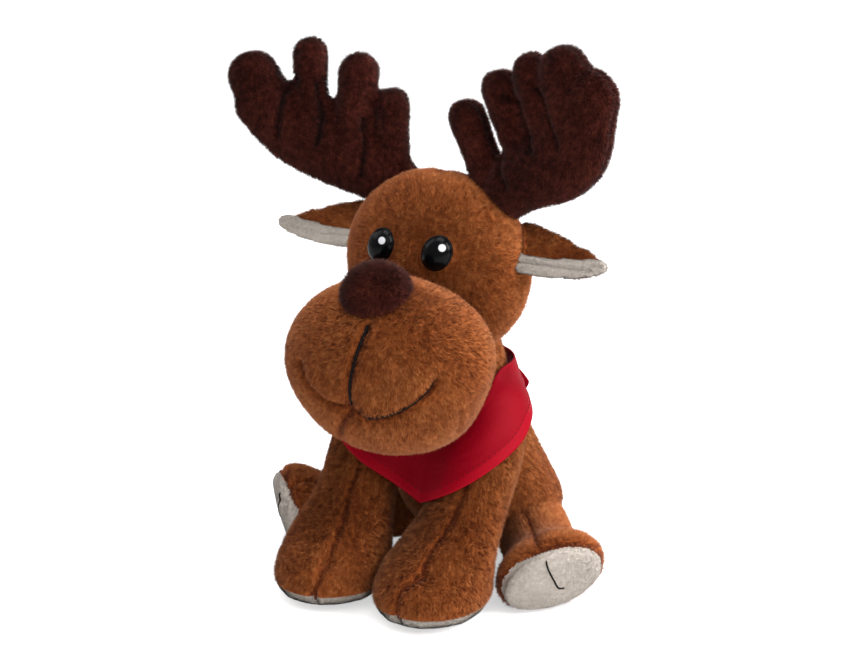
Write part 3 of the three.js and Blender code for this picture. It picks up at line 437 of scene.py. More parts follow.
def hind_leg_form(name):
    turn = Matrix.Rotation(math.radians(180 + HIND_SPLAY[name]), 4, "Z") @ Matrix.Rotation(math.radians(-90), 4, "X")
    turn = turn @ Matrix.Rotation(math.radians(22), 4, "Z")
    mirror = Matrix.Scale(SIDES[name], 4, (1, 0, 0))
    return {
        "height": HIND_LENGTH[name], "spread": 0.0, "lean": 17.0, "half_width": 23.0, "half_depth": 17.0,
        "low_dome": 8.5, "high_dome": 4.0, "end_lean": HIND_TOE_LEAN,
        "shares": [(-0.1, 0, 0, 0.66, 0.9), (0.25, 0, -0.1, 0.68, 0.78), (0.5, 0, -0.16, 0.68, 0.74),
                   (0.7, 0, -0.08, 0.8, 0.84), (0.87, 0, 0.06, 1, 1), (1, 0, 0, 0.98, 0.8)],
        "place": Matrix.Translation((SIDES[name] * HIP[0], *HIP[1:])) @ mirror @ turn,
    }


ANTLER = {"reach": 70.0, "rise": 64.0, "half_thickness": 9.0, "palm": 19.0, "tine": 7.6, "slope": 60.0,
          "base": (26.5, -33.0, 164.0), "turn": {"left": 8.0, "right": 16.0}, "lift": {"left": 20.0, "right": 0.0},
          "bulge": {"left": 0.45, "right": 0.0}}
TINES = {
    "left": [(-0.05, 0.1, -0.1, 0.57, 1.05), (0.22, 0.4, 0.21, 0.7, 1.1), (0.44, 0.45, 0.465, 0.745, 1.05),
             (0.62, 0.38, 0.69, 0.68, 1.4)],
    "right": [(-0.03, 0.1, -0.03, 0.54, 0.98), (0.23, 0.4, 0.18, 0.74, 1.18), (0.49, 0.5, 0.5, 0.855, 1),
              (0.74, 0.48, 0.85, 0.665, 1.55)],
}


def antler_forms(name):
    bulge = ANTLER["bulge"][name]
    palm = {
        "height": ANTLER["reach"], "spread": ANTLER["palm"], "lean": 0.0, "half_width": ANTLER["palm"],
        "half_depth": ANTLER["half_thickness"], "low_dome": ANTLER["palm"] / 2, "high_dome": ANTLER["palm"] / 2,
        "shares": [(-0.08, -0.06, 0, 0.6, 0.9), (0.12, -0.1 + bulge / 4, 0, 0.76, 0.95),
                   (0.4, -0.08 + bulge, 0, 0.95, 1), (0.68, bulge, 0, 0.93, 1),
                   (0.95, 0.02 + bulge / 4, 0, 0.66, 0.95)],
        "place": Matrix.Rotation(math.radians(ANTLER["slope"]), 4, "Y"),
    }
    forms = [palm]
    for root_reach, root_rise, tip_reach, tip_rise, radius_share in TINES[name]:
        root = Vector((root_reach * ANTLER["reach"], 0, root_rise * ANTLER["rise"]))
        tip = Vector((tip_reach * ANTLER["reach"], 0, tip_rise * ANTLER["rise"]))
        radius = radius_share * ANTLER["tine"]
        turn = Vector((0, 0, 1)).rotation_difference((tip - root).normalized())
        forms.append({
            "height": (tip - root).length, "spread": 0.0, "lean": 0.0, "half_width": radius,
            "half_depth": min(radius, ANTLER["half_thickness"]), "low_dome": radius, "high_dome": radius,
            "shares": [(0, 0, 0, 1, 1), (0.5, 0, 0, 0.93, 0.93), (1, 0, 0, 1, 1)],
            "place": Matrix.Translation(root) @ turn.to_matrix().to_4x4(),
        })
    return forms


def side_place(side, lift, turn, base):
    """Turns a shape drawn for the left side at the origin into place on either side."""
    mirror = Matrix.Scale(side, 4, (1, 0, 0))
    turns = Matrix.Rotation(math.radians(-turn), 4, "Z") @ Matrix.Rotation(math.radians(-lift), 4, "Y")
    return Matrix.Translation((side * base[0], base[1], base[2])) @ mirror @ turns


EAR = {
    "height": 41.5, "spread": 10.5, "lean": 0.0, "half_width": 10.5, "half_depth": 3.4, "low_dome": 3.4,
    "high_dome": 3.4,
    "shares": [(-0.12, 0, 0, 1.12, 1.4), (0.2, 0.04, 0, 1.08, 1.25), (0.5, 0.14, 0, 0.88, 1),
               (0.8, 0.2, 0, 0.56, 0.8), (0.93, 0.2, 0, 0.3, 0.6)],
}
EAR_LINING = {
    **EAR, "half_depth": 0.9, "low_dome": 0.01, "high_dome": 1.8,
    "shares": [(0.04, 0.72, 0, 0.36, 1), (0.3, 0.7, 0, 0.38, 1), (0.6, 0.56, 0, 0.38, 1),
               (0.85, 0.34, 0, 0.34, 1), (0.94, 0.26, 0, 0.22, 1)],
}


# The rooms of neighbouring pieces, which a skin keeps out of: each says which points lie in it, grown by so much
def form_room(form):
    return lambda points, grow: in_form(points, form, grow)


def ball_room(shape):
    return lambda points, grow: in_ball(points, *shape, grow)


skull_room, muzzle_room, torso_room = ball_room(SKULL), ball_room(MUZZLE), form_room(TORSO)


def outside_torso(points, grow):
    return ~torso_room(points, grow)


# Mesh building
def new_object(name, points, faces):
    """A mesh object from points in millimetres."""
    mesh = bpy.data.meshes.new(name)
    mesh.from_pydata((np.asarray(points) * MM).tolist(), [], [tuple(f) for f in faces])
    mesh.update()
    made = bpy.data.objects.new(name, mesh)
    bpy.context.scene.collection.objects.link(made)
    return made


def placed(shell, matrix):
    """A shell moved by a matrix in millimetres, its faces still pointing outwards."""
    points, faces = shell
    if matrix.determinant() < 0:
        faces = [tuple(reversed(f)) for f in faces]
    return turned(points, matrix), faces


def joined_shells(shells):
    faces, start = [], 0
    for points, shell_faces in shells:
        faces += [tuple(i + start for i in f) for f in shell_faces]
        start += len(points)
    return np.vstack([points for points, _ in shells]), faces


def applied(thing):
    """Replaces an object's mesh with what its modifiers make of it."""
    graph = bpy.context.evaluated_depsgraph_get()
    graph.update()
    mesh = bpy.data.meshes.new_from_object(thing.evaluated_get(graph), preserve_all_data_layers=True, depsgraph=graph)
    thing.modifiers.clear()
    thing.data = mesh
    return thing


def read(items, name, width=3, kind=np.float32):
    """One property of many mesh items, as rows."""
    out = np.empty(len(items) * width, kind)
    items.foreach_get(name, out)
    return out.reshape(-1, width)


def co_of(mesh):
    return read(mesh.vertices, "co").astype(float) / MM


def set_co(mesh, points):
    mesh.vertices.foreach_set("co", (points * MM).astype(np.float32).ravel())
    mesh.update()


def normals_of(mesh):
    return read(mesh.vertex_normals, "vector").astype(float)


def shade_smooth(mesh):
    mesh.polygons.foreach_set("use_smooth", np.ones(len(mesh.polygons), bool))


def distance_to(points, line):
    """Distance from each point to a polyline, all in millimetres."""
    line = np.asarray(line, float)
    best = np.full(len(points), 1e9)
    for a, b in zip(line[:-1], line[1:]):
        along = b - a
        t = np.clip(((points - a) @ along) / max(along @ along, 1e-9), 0, 1)
        best = np.minimum(best, np.linalg.norm(points - (a + t[:, None] * along), axis=1))
    return best


# How far inside a neighbour a skin may reach, and how near its surface the pile ends
TUCK, BARE = -1.2, -0.6
# Pile that lies this deep in a neighbour, or this near the floor, is not grown
BURIED, BARE_FLOOR = -3, 0.4
FLOOR_CLEARANCE = 0.05


def tucked(thing, anchor, rooms, grow=TUCK):
    """Draws a skin back towards an anchor wherever it enters a neighbour's room."""
    points, anchor = co_of(thing.data), np.array(anchor, float)
    for room in rooms:
        inside = np.flatnonzero(room(points, grow))
        if not len(inside):
            continue
        start, near, far = points[inside], np.zeros(len(inside)), np.ones(len(inside))
        for _ in range(12):
            middle = (near + far) / 2
            held = room(start + (anchor - start) * middle[:, None], grow)
            near, far = np.where(held, middle, near), np.where(held, far, middle)
        points[inside] = start + (anchor - start) * far[:, None]
    set_co(thing.data, points)


def touching(points, rooms, grow=BARE):
    """Which points face a neighbour so closely that no pile grows there."""
    return np.any([room(points, grow) for room in rooms], axis=0)


def fullness(hidden, seam=0.0, thinned=0.6):
    """How full the pile grows: not at all where it is hidden, and thinner along a seam."""
    return np.where(hidden, 0, 1 - thinned * seam)


def facing_out(thing):
    """Turns a closed skin's faces outwards if it has come out the wrong way round."""
    mesh = thing.data
    mesh.calc_loop_triangles()
    corners = read(mesh.loop_triangles, "vertices", 3, np.int32)
    a, b, c = co_of(mesh)[corners].transpose(1, 0, 2)
    if (a * np.cross(b, c)).sum() < 0:
        mesh.flip_normals()
    return thing


def skin_tree(thing):
    mesh = thing.data
    return BVHTree.FromPolygons([v.co for v in mesh.vertices], [tuple(f.vertices) for f in mesh.polygons])


def laid(tree, line, lift=0.0):
    """A line laid on a skin, with each of its points lifted off it by so many millimetres."""
    out = []
    for point, rise in zip(line, np.broadcast_to(lift, len(line))):
        spot, normal, _, _ = tree.find_nearest(Vector(tuple(point)) * MM)
        out.append(np.array(spot) / MM + np.array(normal) * rise)
    return np.array(out)


def remeshed(thing, voxel, smoothing):
    """One even skin over a stuffed form's shells."""
    remesh = thing.modifiers.new("Remesh", "REMESH")
    remesh.mode, remesh.voxel_size, remesh.adaptivity = "VOXEL", voxel * MM, 0
    smooth = thing.modifiers.new("Smooth", "SMOOTH")
    smooth.factor, smooth.iterations = 0.5, smoothing
    return facing_out(applied(thing))


PUFF_STEPS = 20
PUFF_PRESSURE, CLOTH_STIFFNESS = 4.0, 0.6


def puffed(thing, pinned, cap):
    """Cloth under pressure swells each panel between its sewn lines, up to a cap."""
    before = co_of(thing.data)
    group = thing.vertex_groups.new(name="sewn")
    for weight in (0.5, 1.0):
        group.add(np.flatnonzero(pinned >= weight).tolist(), weight, "REPLACE")
    cloth = thing.modifiers.new("Cloth", "CLOTH")
    settings = cloth.settings
    settings.use_pressure, settings.uniform_pressure_force = True, PUFF_PRESSURE
    settings.effector_weights.gravity = 0.0
    settings.vertex_group_mass = "sewn"
    settings.quality, settings.bending_stiffness = 4, CLOTH_STIFFNESS
    cloth.point_cache.frame_start, cloth.point_cache.frame_end = 1, PUFF_STEPS
    scene = bpy.context.scene
    for step in range(1, PUFF_STEPS + 1):
        scene.frame_set(step)
    applied(thing)
    scene.frame_set(1)
    move = co_of(thing.data) - before
    far = np.linalg.norm(move, axis=1, keepdims=True)
    move *= np.minimum(1, cap / np.maximum(far, 1e-6))
    set_co(thing.data, before + np.nan_to_num(move))


def stuffed_skin(name, shells, voxel=4.0, smoothing=4, sewn=None, cap=None, subdivisions=2):
    """A piece's skin: its shells made one, swelled as cloth between its seams, and made fine.

    sewn lists seam lines, each with how far from it the cloth is held."""
    cap = sizes().puff / MM if cap is None else cap
    thing = new_object(name, *joined_shells(shells))
    remeshed(thing, voxel, smoothing)
    if cap > 0:
        points = co_of(thing.data)
        pinned = np.zeros(len(points))
        for line, reach in sewn or []:
            away = distance_to(points, line)
            pinned = np.maximum(pinned, np.where(away < reach, 1.0, np.where(away < reach * 1.8, 0.5, 0)))
        puffed(thing, pinned, cap)
    fine = thing.modifiers.new("Fine", "SUBSURF")
    fine.levels = fine.render_levels = subdivisions
    return applied(thing)


def press_in(thing, lines, depth=None, width=None):
    """Draws the skin in along sewn lines and returns how near each vertex is to one, from 0 to 1."""
    depth = sizes().seam_depth / MM if depth is None else depth
    width = sizes().seam_width / MM if width is None else width
    points, normals = co_of(thing.data), normals_of(thing.data)
    near = np.zeros(len(points))
    tree = skin_tree(thing)
    for line in lines:
        near = np.maximum(near, np.exp(-(distance_to(points, laid(tree, line)) / width) ** 2))
    set_co(thing.data, points - normals * (near * depth)[:, None])
    return near


def dimpled(thing, spots):
    """Pushes small hollows into the skin: each spot is a centre, a radius and a depth."""
    points, normals = co_of(thing.data), normals_of(thing.data)
    push = np.zeros(len(points))
    tree = skin_tree(thing)
    for centre, radius, depth in spots:
        away = np.linalg.norm(points - laid(tree, [centre])[0], axis=1)
        push = np.maximum(push, depth * np.exp(-((away / radius) ** 2)))
    set_co(thing.data, points - normals * push[:, None])


def store(mesh, name, values, kind="FLOAT"):
    attribute = mesh.attributes.get(name) or mesh.attributes.new(name, kind, "POINT")
    key = "vector" if kind == "FLOAT_VECTOR" else "value"
    attribute.data.foreach_set(key, np.asarray(values, np.float32).ravel())


def unwrapped(thing):
    """Gives the skin a bake map of its own."""
    mesh = thing.data
    layer = mesh.uv_layers.get("OFBake") or mesh.uv_layers.new(name="OFBake")
    layer.active = True
    bpy.ops.object.select_all(action="DESELECT")
    bpy.context.view_layer.objects.active = thing
    thing.select_set(True)
    bpy.ops.object.mode_set(mode="EDIT")
    bpy.ops.mesh.select_all(action="SELECT")
    bpy.ops.uv.smart_project(angle_limit=math.radians(75), island_margin=0.004)
    bpy.ops.object.mode_set(mode="OBJECT")
    thing.select_set(False)


def geometry_tree(name, **sockets):
    """A new Geometry Nodes group that takes a geometry and the named sockets, with what it is given."""
    tree = bpy.data.node_groups.new(name, "GeometryNodeTree")
    tree.is_modifier = True
    for label, kind in {"Geometry": "Geometry", **sockets}.items():
        tree.interface.new_socket(label.replace("_", " "), in_out="INPUT", socket_type=f"NodeSocket{kind}")
    tree.interface.new_socket("Geometry", in_out="OUTPUT", socket_type="NodeSocketGeometry")
    return tree, add_node(tree, "NodeGroupInput").outputs


def finish_tree(tree, geometry, material):
    done = add_node(tree, "GeometryNodeSetMaterial", Geometry=geometry, Material=material)
    add_node(tree, "NodeGroupOutput", i0=done.outputs[0])
    return tree


# How much strands and stitches vary, as shares of their length or width
STRAND_LENGTHS, STRAND_WIDTHS, STITCH_LENGTHS = (0.65, 1.15), (0.7, 1.3), (0.85, 1.1)
# The tip value at a strand's root, and how much it gains up to its tip; the low root value is painted shade
ROOT_TONE, TONE_GAIN = 0.2, 0.8


def pile_tree():
    """Geometry Nodes that stand pile strands on a skin, each a narrow tapered blade."""
    made = bpy.data.node_groups.get("Plush pile")
    if made:
        return made
    tree, given = geometry_tree("Plush pile", Density="Float", Length="Float", Width="Float", Lean="Float",
                                Disorder="Float", Clump="Float", Clump_size="Float", Seed="Int", Material="Material")

    kinds = {"pile": "FLOAT", "skin_normal": "FLOAT_VECTOR", "nap": "FLOAT_VECTOR", "OFBake": "FLOAT_VECTOR"}
    kept = {name: add_node(tree, "GeometryNodeInputNamedAttribute", {"data_type": kind}, Name=name).outputs["Attribute"]
            for name, kind in kinds.items()}
    # Each strand's stray direction and its spin, then its length, width and shade
    stray, spin = (add_node(tree, "FunctionNodeRandomValue", {"data_type": "FLOAT_VECTOR"}, i0=(-1, -1, -1),
                            i1=(1, 1, 1), Seed=seed).outputs[0] for seed in (11, 12))
    tall, wide, shade = (add_node(tree, "FunctionNodeRandomValue", {"data_type": "FLOAT"}, i2=low, i3=high,
                                  Seed=seed).outputs[1]
                         for (low, high), seed in ((STRAND_LENGTHS, 21), (STRAND_WIDTHS, 22), ((0, 1), 23)))
    density = add_node(tree, "ShaderNodeMath", TIMES, i0=given["Density"], i1=kept["pile"]).outputs[0]
    spread = add_node(tree, "GeometryNodeDistributePointsOnFaces", {"distribute_method": "RANDOM"},
                      Mesh=given["Geometry"], Density=density, Seed=given["Seed"])
    where = add_node(tree, "GeometryNodeInputPosition").outputs[0]
    frequency = add_node(tree, "ShaderNodeMath", {"operation": "DIVIDE"}, i0=1.0, i1=given["Clump size"]).outputs[0]
    swirl = add_node(tree, "ShaderNodeTexNoise", Vector=where, Scale=frequency, Detail=1.0).outputs["Color"]
    centred = add_node(tree, "ShaderNodeVectorMath", {"operation": "SUBTRACT"}, i0=swirl, i1=(0.5, 0.5, 0.5)).outputs[0]
    way = kept["skin_normal"]
    for part, amount in ((kept["nap"], "Lean"), (stray, "Disorder"), (centred, "Clump")):
        part = add_node(tree, "ShaderNodeVectorMath", {"operation": "SCALE"}, i0=part, Scale=given[amount]).outputs[0]
        way = add_node(tree, "ShaderNodeVectorMath", {"operation": "ADD"}, i0=way, i1=part).outputs[0]
    turn = add_node(tree, "FunctionNodeAxesToRotation", {"primary_axis": "Z", "secondary_axis": "Y"}, i0=way, i1=spin)
    full = add_node(tree, "ShaderNodeMath", TIMES, i0=given["Length"], i1=kept["pile"]).outputs[0]
    tall = add_node(tree, "ShaderNodeMath", TIMES, i0=full, i1=tall).outputs[0]
    wide = add_node(tree, "ShaderNodeMath", TIMES, i0=given["Width"], i1=wide).outputs[0]
    size = add_node(tree, "ShaderNodeCombineXYZ", X=1.0, Y=wide, Z=tall).outputs[0]
    # A triangle stood on one side, one unit wide and one unit tall, is the blade that each strand scales.
    triangle = add_node(tree, "GeometryNodeMeshCircle", {"fill_type": "NGON"}, Vertices=3, Radius=1.0)
    blade = add_node(tree, "GeometryNodeTransform", Geometry=triangle.outputs[0], Scale=(2 / 3, 0.577, 1),
                     Rotation=(0, math.radians(-90), 0), Translation=(0, 0, 1 / 3)).outputs[0]
    # Each blade's height is kept as its tip value, which the pile's ramp darkens towards the root as painted shade
    rise = add_node(tree, "ShaderNodeSeparateXYZ", i0=add_node(tree, "GeometryNodeInputPosition").outputs[0])
    tip = add_node(tree, "ShaderNodeMath", {"operation": "MULTIPLY_ADD"}, i0=rise.outputs["Z"], i1=TONE_GAIN,
                   i2=ROOT_TONE).outputs[0]
    marked = add_node(tree, "GeometryNodeStoreNamedAttribute", {"data_type": "FLOAT", "domain": "POINT"},
                      Geometry=blade, Name="tip", Value=tip).outputs[0]
    stood = add_node(tree, "GeometryNodeInstanceOnPoints", Points=spread.outputs["Points"], Instance=marked,
                     Rotation=turn.outputs[0], Scale=size)
    toned = add_node(tree, "GeometryNodeStoreNamedAttribute", {"data_type": "FLOAT", "domain": "INSTANCE"},
                     Geometry=stood.outputs[0], Name="shade", Value=shade).outputs[0]
    real = add_node(tree, "GeometryNodeRealizeInstances", Geometry=toned)
    both = add_node(tree, "GeometryNodeJoinGeometry")
    tree.links.new(given["Geometry"], both.inputs[0])
    tree.links.new(real.outputs[0], both.inputs[0])
    mapped = add_node(tree, "GeometryNodeStoreNamedAttribute", {"data_type": "FLOAT2", "domain": "CORNER"},
                      Geometry=both.outputs[0], Name="OFBake", Value=kept["OFBake"]).outputs[0]
    faced = add_node(tree, "GeometryNodeSetMeshNormal", {"mode": "FREE", "domain": "POINT"}, Mesh=mapped,
                     Custom_Normal=kept["skin_normal"])
    return finish_tree(tree, faced.outputs[0], given["Material"])


def stitch_tree():
    """Geometry Nodes that lay running stitches along a line of edges."""
    made = bpy.data.node_groups.get("Running stitches")
    if made:
        return made
    tree, given = geometry_tree("Running stitches", Pitch="Float", Length="Float", Radius="Float", Seed="Int",
                                Material="Material")
    curve = add_node(tree, "GeometryNodeMeshToCurve", Mesh=given["Geometry"]).outputs[0]
    evened = add_node(tree, "GeometryNodeCurveToPoints", {"mode": "LENGTH"}, Curve=curve, Length=given["Pitch"])
    uneven = add_node(tree, "FunctionNodeRandomValue", {"data_type": "FLOAT"}, i2=STITCH_LENGTHS[0],
                      i3=STITCH_LENGTHS[1], Seed=given["Seed"]).outputs[1]
    long = add_node(tree, "ShaderNodeMath", TIMES, i0=given["Length"], i1=uneven).outputs[0]
    half = add_node(tree, "ShaderNodeMath", TIMES, i0=long, i1=0.5).outputs[0]
    size = add_node(tree, "ShaderNodeCombineXYZ", X=given["Radius"], Y=given["Radius"], Z=half).outputs[0]
    bead = add_node(tree, "GeometryNodeMeshUVSphere", Segments=8, Rings=6, Radius=1.0).outputs[0]
    stood = add_node(tree, "GeometryNodeInstanceOnPoints", Points=evened.outputs["Points"], Instance=bead,
                     Rotation=evened.outputs["Rotation"], Scale=size)
    real = add_node(tree, "GeometryNodeRealizeInstances", Geometry=stood.outputs[0])
    return finish_tree(tree, real.outputs[0], given["Material"])


def set_inputs(modifier, values):
    """Sets a Geometry Nodes modifier's inputs by their names."""
    for item in modifier.node_group.interface.items_tree:
        if getattr(item, "in_out", "") == "INPUT" and item.name in values:
            modifier[item.identifier] = values[item.name]


# The pile shortens over this height above the floor, which it starts to rise from a little above zero
FLOOR_LIFT, FLOOR_FADE = 0.2, 2.2
# The cloth that shows between strands is toned as if it stood part of the way up them, darker than the tips as painted
# shade
SKIN_TIP, SKIN_SHADE = 0.45, 0.5


def furred(thing, finish, nap, pile, seam=None, long=None, density=1.0, lean=0.8, disorder=0.32, clump=1.1,
           clump_mm=3.0, seed=0):
    """Grows pile on a finished skin. nap is its brushed direction, for all or each vertex, and pile how full it is.

    seam is how near a seam each vertex lies, where the pile is darkened as painted shade.
    """
    mesh = thing.data
    normals = normals_of(mesh)
    nap = nap - normals * (np.asarray(nap, float) * normals).sum(1, keepdims=True)
    nap /= np.maximum(np.linalg.norm(nap, axis=1, keepdims=True), 1e-6)
    store(mesh, "skin_normal", normals, "FLOAT_VECTOR")
    store(mesh, "nap", nap, "FLOAT_VECTOR")
    store(mesh, "pile", pile * np.clip((co_of(mesh)[:, 2] - FLOOR_LIFT) / FLOOR_FADE, 0, 1))
    # How near a seam each vertex lies, where the pile's ramp darkens it as painted shade
    store(mesh, "seam", np.zeros(len(normals)) if seam is None else seam)
    store(mesh, "tip", np.full(len(normals), SKIN_TIP))
    store(mesh, "shade", np.full(len(normals), SKIN_SHADE))
    shade_smooth(mesh)
    unwrapped(thing)
    s = sizes()
    modifier = thing.modifiers.new("Pile", "NODES")
    modifier.node_group = pile_tree()
    set_inputs(modifier, {
        "Density": s.strand_density * density / MM**2 * 1.0,
        "Length": s.pile_length if long is None else long,
        "Width": s.strand_width * 1.0,
        "Lean": lean, "Disorder": disorder, "Clump": clump, "Clump size": clump_mm * MM, "Seed": s.seed + seed,
        "Material": finish_of(finish),
    })
    return applied(thing)


def without_faces(thing, drop):
    """Deletes the faces that a mask names."""
    work = bmesh.new()
    work.from_mesh(thing.data)
    work.faces.ensure_lookup_table()
    bmesh.ops.delete(work, geom=[work.faces[i] for i in np.flatnonzero(drop)], context="FACES")
    work.to_mesh(thing.data)
    work.free()
    thing.data.update()


def face_centres(mesh):
    return read(mesh.polygons, "center").astype(float) / MM


def copied(thing, name):
    twin = thing.copy()
    twin.data = thing.data.copy()
    twin.name = name
    bpy.context.scene.collection.objects.link(twin)
    return twin


def between_heights(thing, low, high=np.inf):
    """Flattens what reaches below one height or above another."""
    points = co_of(thing.data)
    points[:, 2] = np.clip(points[:, 2], low, high)
    set_co(thing.data, points)


def settled(thing, body, nodes):
    """Hands a finished piece to the frame."""
    thing.data.name = thing.name
    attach(thing, body)
    if nodes:
        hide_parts(*nodes)
    return thing


def tube(name, path, radius, around=10):
    """A closed round thread along a path in millimetres."""
    path = np.asarray(path, float)
    radii = np.broadcast_to(radius, len(path))
    points = [path[0]]
    tangent = np.gradient(path, axis=0)
    tangent /= np.linalg.norm(tangent, axis=1, keepdims=True)
    side = np.cross(tangent[0], (0, 0, 1.0))
    if np.linalg.norm(side) < 1e-3:
        side = np.cross(tangent[0], (1.0, 0, 0))
    for k, (p, t) in enumerate(zip(path, tangent)):
        side = side - t * (side @ t)
        side /= np.linalg.norm(side)
        up = np.cross(t, side)
        end = min(k, len(path) - 1 - k)
        r = radii[k] * (0.55, 0.9, 1.0)[min(end, 2)]
        points += [p + (side * math.cos(a) + up * math.sin(a)) * r for a in np.arange(around) / around * 2 * np.pi]
    made = new_object(name, [*points, path[-1]], wrapped(around, len(path)))
    shade_smooth(made.data)
    return made


def smooth_path(points, count):
    """A Catmull-Rom path through points."""
    p = np.asarray(points, float)
    p = np.vstack([2 * p[0] - p[1], p, 2 * p[-1] - p[-2]])
    out = []
    spans = len(p) - 3
    for u in np.linspace(0, spans, count):
        i = min(int(u), spans - 1)
        t = u - i
        a, b, c, d = p[i : i + 4]
        out.append(0.5 * (2 * b + (c - a) * t + (2 * a - 5 * b + 4 * c - d) * t**2 + (3 * b - a - 3 * c + d) * t**3))
    return np.array(out)


def on_muzzle(x, z, lift=0.0):
    centre, halves = np.array(MUZZLE[0]), np.array(MUZZLE[1]) + lift
    flat = 1 - (x / halves[0]) ** 2 - ((z - centre[2]) / halves[2]) ** 2
    return np.array([x, centre[1] - halves[1] * math.sqrt(max(flat, 0)), z])


# The lines on the muzzle, as x and z, or as x, y and z where they turn under it
NOSE_LINE = ((3.9, 126.7), (3.7, 123), (2.3, 113.7), (0.7, 102.9), (-0.8, 91.5))
PHILTRUM = smooth_path([on_muzzle(x, z) for x, z in NOSE_LINE], 40)
SMILE_LEFT = [(7.1, 87.9), (17.4, 90.4), (25, 94.9), (30.6, 99.6), (35, 106.3)]
SMILE_RIGHT = [(-27.5, 106), (-22, 98.9), (-12.8, 93.4), (-0.6, 91.2)]
MOUTH = smooth_path([on_muzzle(x, z) for x, z in SMILE_RIGHT + SMILE_LEFT], 80)
CHIN_SEAM = smooth_path([(-0.9, -111.7, 90), (-5.6, -108, 83.8), (-10.9, -101.9, 76.3), (-13, -94, 70)], 16)
CHEEK_FOLD = smooth_path([(41.2, -91.5, 91.1), (40, -88.4, 85.4), (36.1, -83.1, 78.4)], 10)
# Where the muzzle is less full than a ball: a centre, a radius and a depth
CHEEK_HOLLOWS = [((46, -70, 90), 18, 4.6), ((-38, -86, 80), 14, 2.0)]
MUZZLE_ANCHOR, NOSE_ANCHOR = (0, -95, 100), (0, -97, 136)
# The nose skin hangs this much lower and further forward than its ball, so that the pile's outline matches it
NOSE_SHIFT = (0, -0.6, -1.2)
# The skins that threads are laid on, kept as their pieces are made
SKINS = {}


# Pieces
class PlushOperator:
    bl_options = {"REGISTER", "UNDO"}


# Where the torso's seams run, as shares of its half width and half depth: down the back and down each flank
TORSO_SEAMS = ((0, 1), (0.94, 0.34), (-0.94, 0.34))


class DressTorso(PlushOperator, bpy.types.Operator):
    """Makes the torso's pile fabric skin, with its back and side seams"""

    bl_idname = "plush_deer.dress_torso"
    bl_label = "Torso"

    def execute(self, context):
        x, y, z, w, d = section_at(TORSO, np.linspace(0.1, 0.97, 24))
        seams = [np.stack([x + out * w, y + SEAT_BACK + back * d, z], -1) for out, back in TORSO_SEAMS]
        thing = stuffed_skin("torso_plush", [stuffed(TORSO, grow=-2.6)], sewn=[(line, 4.4) for line in seams])
        between_heights(thing, FLOOR_CLEARANCE)
        seam = press_in(thing, seams)
        points = co_of(thing.data)
        legs = [*(front_leg_form(side) for side in SIDES.values()), *(hind_leg_form(name) for name in SIDES)]
        rooms = [skull_room, muzzle_room, *(form_room(leg) for leg in legs)]
        hidden = touching(points, rooms, BURIED) | (points[:, 2] < BARE_FLOOR)
        furred(thing, "brown pile fabric", (0.0, 0.15, -1.0), fullness(hidden, seam), seam, seed=1)
        settled(thing, "torso", ["torso_skin"])
        return {"FINISHED"}


class DressHead(PlushOperator, bpy.types.Operator):
    """Makes the head's pile fabric skin above and behind the muzzle"""

    bl_idname = "plush_deer.dress_head"
    bl_label = "Head"

    def execute(self, context):
        centre, halves = np.array(SKULL[0]), np.array(SKULL[1])
        arc = np.linspace(-0.15, 1.15, 30) * np.pi - np.pi / 2 + 0.6
        crown = np.stack([0 * arc, centre[1] + halves[1] * np.sin(arc), centre[2] + halves[2] * np.cos(arc)], -1)
        crown = crown[crown[:, 1] > centre[1] - 4]
        thing = stuffed_skin("head_plush", [ball(*SKULL, grow=-1.8)], voxel=4.5, sewn=[(crown, 3.6)])
        seam = press_in(thing, [crown], depth=0.9)
        eyes = [eye_place(side).translation for side in SIDES.values()]
        dimpled(thing, [(eye, *EYE["socket"]) for eye in eyes])
        tucked(thing, SKULL[0], [torso_room])
        points = co_of(thing.data)
        pile = fullness(touching(points, [muzzle_room], BURIED) | touching(points, [torso_room]), seam)
        for eye in eyes:
            away = np.linalg.norm(points - np.array(eye), axis=1)
            pile *= np.clip((away - EYE["bare"]) / EYE["fade"], 0.12, 1)
        nap = points - np.array(NOSE[0]) + (0, 0, -20)
        furred(thing, "brown pile fabric", nap, pile, seam, long=sizes().pile_length * 0.85, seed=2)
        settled(thing, "head", ["head_skin"])
        return {"FINISHED"}


class DressMuzzle(PlushOperator, bpy.types.Operator):
    """Makes the muzzle's round skin, drawn in along the mouth and the line under the nose"""

    bl_idname = "plush_deer.dress_muzzle"
    bl_label = "Muzzle"

    def execute(self, context):
        lines = [PHILTRUM, MOUTH, CHIN_SEAM]
        rooms = [skull_room, torso_room]
        thing = stuffed_skin("muzzle_plush", [ball(*MUZZLE, grow=-1.6)], voxel=4.5,
                             sewn=[(line, 3.6) for line in lines])
        dimpled(thing, CHEEK_HOLLOWS)
        dimpled(thing, [(PHILTRUM[-1], 6, 2.2), (MOUTH[0], 5, 1.2), (MOUTH[-1], 5, 1.2)])
        SKINS["muzzle"] = skin_tree(thing)
        seam = press_in(thing, lines, depth=1.7, width=1.7)
        press_in(thing, [CHEEK_FOLD], depth=0.9, width=1.6)
        tucked(thing, MUZZLE_ANCHOR, rooms)
        points = co_of(thing.data)
        pile = fullness(touching(points, rooms) | in_ball(points, *NOSE, -2), seam, 0.55)
        nap = points - np.array(NOSE[0]) + (0, 10, -12)
        furred(thing, "brown pile fabric", nap, pile, seam, long=sizes().pile_length * 0.9, seed=3)
        settled(thing, "head", ["muzzle_skin"])
        return {"FINISHED"}


